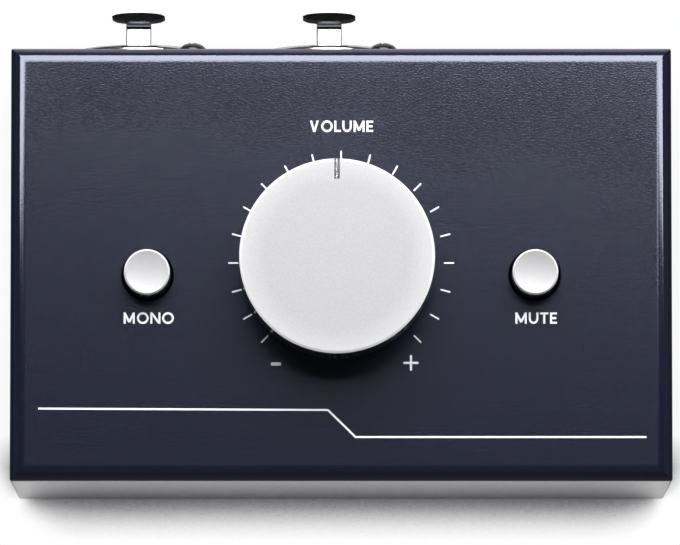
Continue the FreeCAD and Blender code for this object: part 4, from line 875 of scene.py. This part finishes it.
def printed(name, pieces):
    """Finish several flat shapes as one piece of print."""
    finish(join(name, pieces), name, MATERIALS["print"], "case")


def bar(x, y, width, height, turn=0.0):
    """A flat bar of print round the point x, y."""
    made = block("bar", (-width / 2, -height / 2, PRINT_LOW), (width / 2, height / 2, PRINT_HIGH))
    made.rotation_euler = (0, 0, turn)
    made.location = (x, CASE_MIDDLE_Y + y, 0)
    apply_place(made)
    return made


TICK_COUNT = 19
FIRST_TICK = 225
TICK_STEP = 15


def make_scale():
    """Nineteen ticks round the knob, with a minus and a plus below its two ends."""
    inner, outer = 17.85 * MM, 19.6 * MM
    middle = (inner + outer) / 2
    ticks = []
    for index in range(TICK_COUNT):
        angle = math.radians(FIRST_TICK - TICK_STEP * index)
        x, y = middle * math.cos(angle), middle * math.sin(angle)
        ticks.append(bar(x, y, outer - inner, 0.26 * MM, angle))
    printed("volume_ticks", ticks)
    plus_x, plus_y, thick = 12.1 * MM, -17.4 * MM, 0.38 * MM
    plus = bar(plus_x, plus_y, 2.6 * MM, thick)
    carve(plus, bar(plus_x, plus_y, thick, 2.7 * MM), "UNION")
    printed("volume_signs", [bar(-11.3 * MM, -17.6 * MM, 1.7 * MM, 0.56 * MM), plus])


# Each letter: its width and its strokes, in a frame one letter high. O and U also get a bowl.

LETTERS = {
    "V": (0.98, [((0.14, 1.1), (0.49, -0.02)), ((0.84, 1.1), (0.49, -0.02))]),
    "L": (0.60, [((0.08, 0.0), (0.08, 1.0)), ((0.0, 0.08), (0.60, 0.08))]),
    "M": (1.10, [((0.12, -0.1), (0.12, 1.0)), ((0.98, -0.1), (0.98, 1.0)), ((0.10, 1.0), (0.55, 0.14)),
                 ((1.00, 1.0), (0.55, 0.14))]),
    "E": (0.62, [((0.08, 0.0), (0.08, 1.0)), ((0.0, 0.08), (0.62, 0.08)), ((0.0, 0.5), (0.56, 0.5)),
                 ((0.0, 0.92), (0.62, 0.92))]),
    "N": (0.92, [((0.08, 0.0), (0.08, 1.0)), ((0.84, 0.0), (0.84, 1.0)), ((0.06, 1.02), (0.86, -0.02))]),
    "T": (0.76, [((0.38, 0.0), (0.38, 1.0)), ((0.0, 0.92), (0.76, 0.92))]),
    "O": (1.10, []),
    "U": (0.86, [((0.08, 0.40), (0.08, 1.0)), ((0.78, 0.40), (0.78, 1.0))]),
}
STROKE = 0.19
LETTER_GAP = 0.17


def stroke(start, end, size):
    """One stroke of a letter in a frame one letter high, made to size."""
    (x0, y0), (x1, y1) = start, end
    half_length = math.hypot(x1 - x0, y1 - y0) / 2 * size
    half_width = STROKE / 2 * size
    made = block("stroke", (-half_length, -half_width, PRINT_LOW), (half_length, half_width, PRINT_HIGH))
    made.rotation_euler = (0, 0, math.atan2(y1 - y0, x1 - x0))
    made.location = ((x0 + x1) / 2 * size, (y0 + y1) / 2 * size, 0)
    apply_place(made)
    return made


def bowl(radius_x, radius_y, x, y, size, lower_half):
    """A ring for an O, or the lower half of one for a U."""
    ring = cylinder("bowl", 1.0, PRINT_LOW, PRINT_HIGH)
    ring.scale = (radius_x * size, radius_y * size, 1)
    apply_place(ring)
    hollow = cylinder("hollow", 1.0, PRINT_LOW - MM, PRINT_HIGH + MM)
    hollow.scale = ((radius_x - STROKE) * size, (radius_y - STROKE) * size, 1)
    apply_place(hollow)
    carve(ring, hollow)
    if lower_half:
        carve(ring, block("upper", (-size, 0, PRINT_LOW - MM), (size, size, PRINT_HIGH + MM)))
    ring.location = (x * size, y * size, 0)
    apply_place(ring)
    return ring


def make_letter(character, size):
    """One capital at the origin, trimmed to the height of its line."""
    width, strokes = LETTERS[character]
    pieces = [stroke(start, end, size) for start, end in strokes]
    if character == "O":
        pieces.append(bowl(0.55, 0.52, 0.55, 0.5, size, False))
    if character == "U":
        pieces.append(bowl(0.43, 0.42, 0.43, 0.41, size, True))
    made = pieces[0]
    for piece in pieces[1:]:
        carve(made, piece, "UNION")
    if character != "O":
        lowest = -size if character == "U" else 0
        frame_block = block("frame", (-size, lowest, PRINT_LOW - MM), (2 * size, size, PRINT_HIGH + MM))
        carve(made, frame_block, "INTERSECT")
    return made, width


def make_word(text, x, y, width, height):
    """A label in plain square capitals, one letter after the other."""
    total = sum(LETTERS[character][0] for character in text) + LETTER_GAP * (len(text) - 1)
    start = 0.0
    letters = []
    for character in text:
        made, across = make_letter(character, height)
        made.location = (start * height, 0, 0)
        apply_place(made)
        letters.append(made)
        start += across + LETTER_GAP
    word = join("word", letters)
    word.scale = (width / (total * height), 1, 1)
    word.location = (x - width / 2, CASE_MIDDLE_Y + y - height / 2, 0)
    apply_place(word)
    printed(f"{text.lower()}_label", [word])


# Each label: its text, the place of its middle and its width, in millimetres, as the rule's points are.

LABELS = [("VOLUME", 0.0, 23.9, 11.1), ("MONO", -33.4, -9.6, 8.75), ("MUTE", 33.8, -9.6, 7.25)]
LABEL_HEIGHT = 1.96 * MM
RULE_POINTS = [(-52.4, -25.35), (-2.3, -25.6), (2.5, -30.3), (52.8, -30.3)]
RULE_WIDTH = 0.33 * MM
RULE_OVERLAP = 0.16


def make_rule():
    """A thin line across the panel with one slanting step, as one piece."""
    runs = []
    for (x0, y0), (x1, y1) in zip(RULE_POINTS, RULE_POINTS[1:]):
        length = math.hypot(x1 - x0, y1 - y0) + RULE_OVERLAP
        angle = math.atan2(y1 - y0, x1 - x0)
        runs.append(bar((x0 + x1) / 2 * MM, (y0 + y1) / 2 * MM, length * MM, RULE_WIDTH, angle))
    for run in runs[1:]:
        carve(runs[0], run, "UNION")
    printed("stepped_rule", runs[:1])


make_cover()
make_lip(-1)
make_lip(1)
make_base_plate()
make_feet()
for socket_side in SIDES:
    make_bezel(socket_side)
    make_socket_core(socket_side)
    make_latch(socket_side)
    make_jack_body(socket_side)
    make_jack_nut(socket_side)
make_socket_screws()
make_control_knob()
make_key(-1, "mono")
make_key(1, "mute")
make_scale()
for label, label_x, label_y, label_width in LABELS:
    make_word(label, label_x * MM, label_y * MM, label_width * MM, LABEL_HEIGHT)
make_rule()


# The remaining construction solids take their materials by slot.

def dress_nodes():
    """Give each construction solid the material of its slot in the record."""
    for part in frame["record"]["subparts"]:
        node = frame["nodes"][part["node"]]
        node.data.materials.clear()
        node.data.materials.append(MATERIALS[part["material_slot"]])


dress_nodes()


# Stage: a floor that the camera sees as white, a softbox high behind the object, a camera nearly overhead.
# A pair is the two ends of a ramp in metres, but SHADOW_OPEN holds shares of open sky above the floor, and
# MIRROR_BEHIND holds the middle and the half width of the strip behind the rear wall.
# A row of SKY_BANDS holds the upward part of a direction at two ends, and then the strength at each end.

SHADOW_REACH = 0.016
SHADOW_OPEN = (0.525, 0.74)
SHADOW_FRONT = (-0.030, -0.036)
SHADOW_TINT = (0.09, 0.09, 0.10)
MIRROR_SIDE = (0.056, 0.075)
MIRROR_FRONT = (-0.060, -0.050)
MIRROR_BEHIND = (0.042, 0.009)
SKY_BANDS = [(0.80, 0.99, 0.06, 0.03), (0.30, 0.05, 0.0, 0.06)]
SOFTBOX_PLACE = (0.08, 0.67, 0.94)
SOFTBOX_SIZE = (1.2, 0.95)
SOFTBOX_POWER = 30.0
CAMERA_PLACE = (-0.0002, -0.15335, 1.500)
CAMERA_TURN = (math.radians(5.808), 0.0, 0.0)
CAMERA_LENS = 446.0


def contact_shadow(nodes, y):
    """How far the floor darkens for the camera: near the object's foot, and only in front of it."""
    hidden = nodes.add("ShaderNodeAmbientOcclusion", samples=16)
    hidden.inputs["Distance"].default_value = SHADOW_REACH
    shadow = nodes.ramp(hidden.outputs["AO"], *SHADOW_OPEN, 1.0, 0.0)
    in_front = nodes.ramp(y, *SHADOW_FRONT, 0.10, 1.0)
    return nodes.maths("MULTIPLY", in_front, shadow)


def mirrored_floor(nodes, x, y):
    """How bright reflections see the floor: light near the front wall, dim beside, behind and far out."""
    sideways = nodes.ramp(nodes.maths("ABSOLUTE", x), *MIRROR_SIDE, 0.88, 0.04)
    before = nodes.ramp(y, *MIRROR_FRONT, 0.12, 1.0)
    behind = nodes.ramp(nodes.maths("COMPARE", y, *MIRROR_BEHIND), 0.0, 1.0, 1.0, 0.04)
    return nodes.maths("MINIMUM", sideways, nodes.maths("MINIMUM", before, behind))


def make_floor():
    """White to the camera and through glass, dimmed in reflections, and plain grey to all other light."""
    deselect()
    bpy.ops.mesh.primitive_plane_add(size=8.0, location=(0, 0, 0))
    floor = bpy.context.object
    floor.name = "floor"
    nodes = Nodes("floor_white")
    path = nodes.add("ShaderNodeLightPath")
    parts = nodes.add("ShaderNodeSeparateXYZ")
    nodes.link(nodes.coordinates(), parts.inputs["Vector"])
    x, y = parts.outputs["X"], parts.outputs["Y"]
    diffuse = nodes.add("ShaderNodeBsdfDiffuse")
    diffuse.inputs["Color"].default_value = (0.78, 0.78, 0.80, 1)
    white = nodes.add("ShaderNodeEmission")
    shown = nodes.mix_colour(contact_shadow(nodes, y), (1.0, 1.0, 1.0), SHADOW_TINT)
    nodes.link(shown, white.inputs["Color"])
    direct = nodes.maths("MAXIMUM", path.outputs["Is Camera Ray"], path.outputs["Is Transmission Ray"])
    seen = nodes.maths("MAXIMUM", direct, path.outputs["Is Glossy Ray"])
    nodes.link(nodes.maths("MAXIMUM", mirrored_floor(nodes, x, y), direct), white.inputs["Strength"])
    choice = nodes.add("ShaderNodeMixShader")
    nodes.link(seen, choice.inputs["Fac"])
    nodes.link(diffuse.outputs["BSDF"], choice.inputs[1])
    nodes.link(white.outputs["Emission"], choice.inputs[2])
    nodes.link(choice.outputs["Shader"], nodes.output.inputs["Surface"])
    floor.data.materials.append(nodes.material)


def make_world():
    """A dim surround: faint bands overhead and near the horizon, whose strengths add up."""
    world = bpy.data.worlds.new("surround")
    bpy.context.scene.world = world
    world.use_nodes = True
    tree = world.node_tree
    sky = tree.nodes["Background"]
    sky.inputs["Color"].default_value = (0.97, 0.985, 1.0, 1)
    source = tree.nodes.new("ShaderNodeTexCoord")
    parts = tree.nodes.new("ShaderNodeSeparateXYZ")
    tree.links.new(source.outputs["Generated"], parts.inputs["Vector"])
    total = tree.nodes.new("ShaderNodeMath")
    total.operation = "ADD"
    for index, ends in enumerate(SKY_BANDS):
        band = tree.nodes.new("ShaderNodeMapRange")
        band.interpolation_type = "SMOOTHSTEP"
        for name, value in zip(("From Min", "From Max", "To Min", "To Max"), ends):
            band.inputs[name].default_value = value
        tree.links.new(parts.outputs["Z"], band.inputs["Value"])
        tree.links.new(band.outputs["Result"], total.inputs[index])
    tree.links.new(total.outputs["Value"], sky.inputs["Strength"])


def make_softbox():
    """One large rectangular light that looks at the object from high behind it."""
    data = bpy.data.lights.new("softbox", "AREA")
    data.shape = "RECTANGLE"
    data.size, data.size_y = SOFTBOX_SIZE
    data.energy = SOFTBOX_POWER
    lamp = bpy.data.objects.new("softbox", data)
    bpy.context.scene.collection.objects.link(lamp)
    lamp.location = SOFTBOX_PLACE
    lamp.rotation_euler = (-Vector(SOFTBOX_PLACE)).to_track_quat("-Z", "Y").to_euler()


def make_camera():
    """A long lens nearly straight above, leaning a little towards the front wall."""
    data = bpy.data.cameras.new("camera")
    camera = bpy.data.objects.new("camera", data)
    bpy.context.scene.collection.objects.link(camera)
    camera.location = CAMERA_PLACE
    camera.rotation_euler = CAMERA_TURN
    data.lens = CAMERA_LENS
    data.sensor_width = 36.0
    data.clip_start = 0.05
    bpy.context.scene.camera = camera


bpy.context.scene.view_settings.view_transform = "Standard"
make_floor()
make_world()
make_softbox()
make_camera()
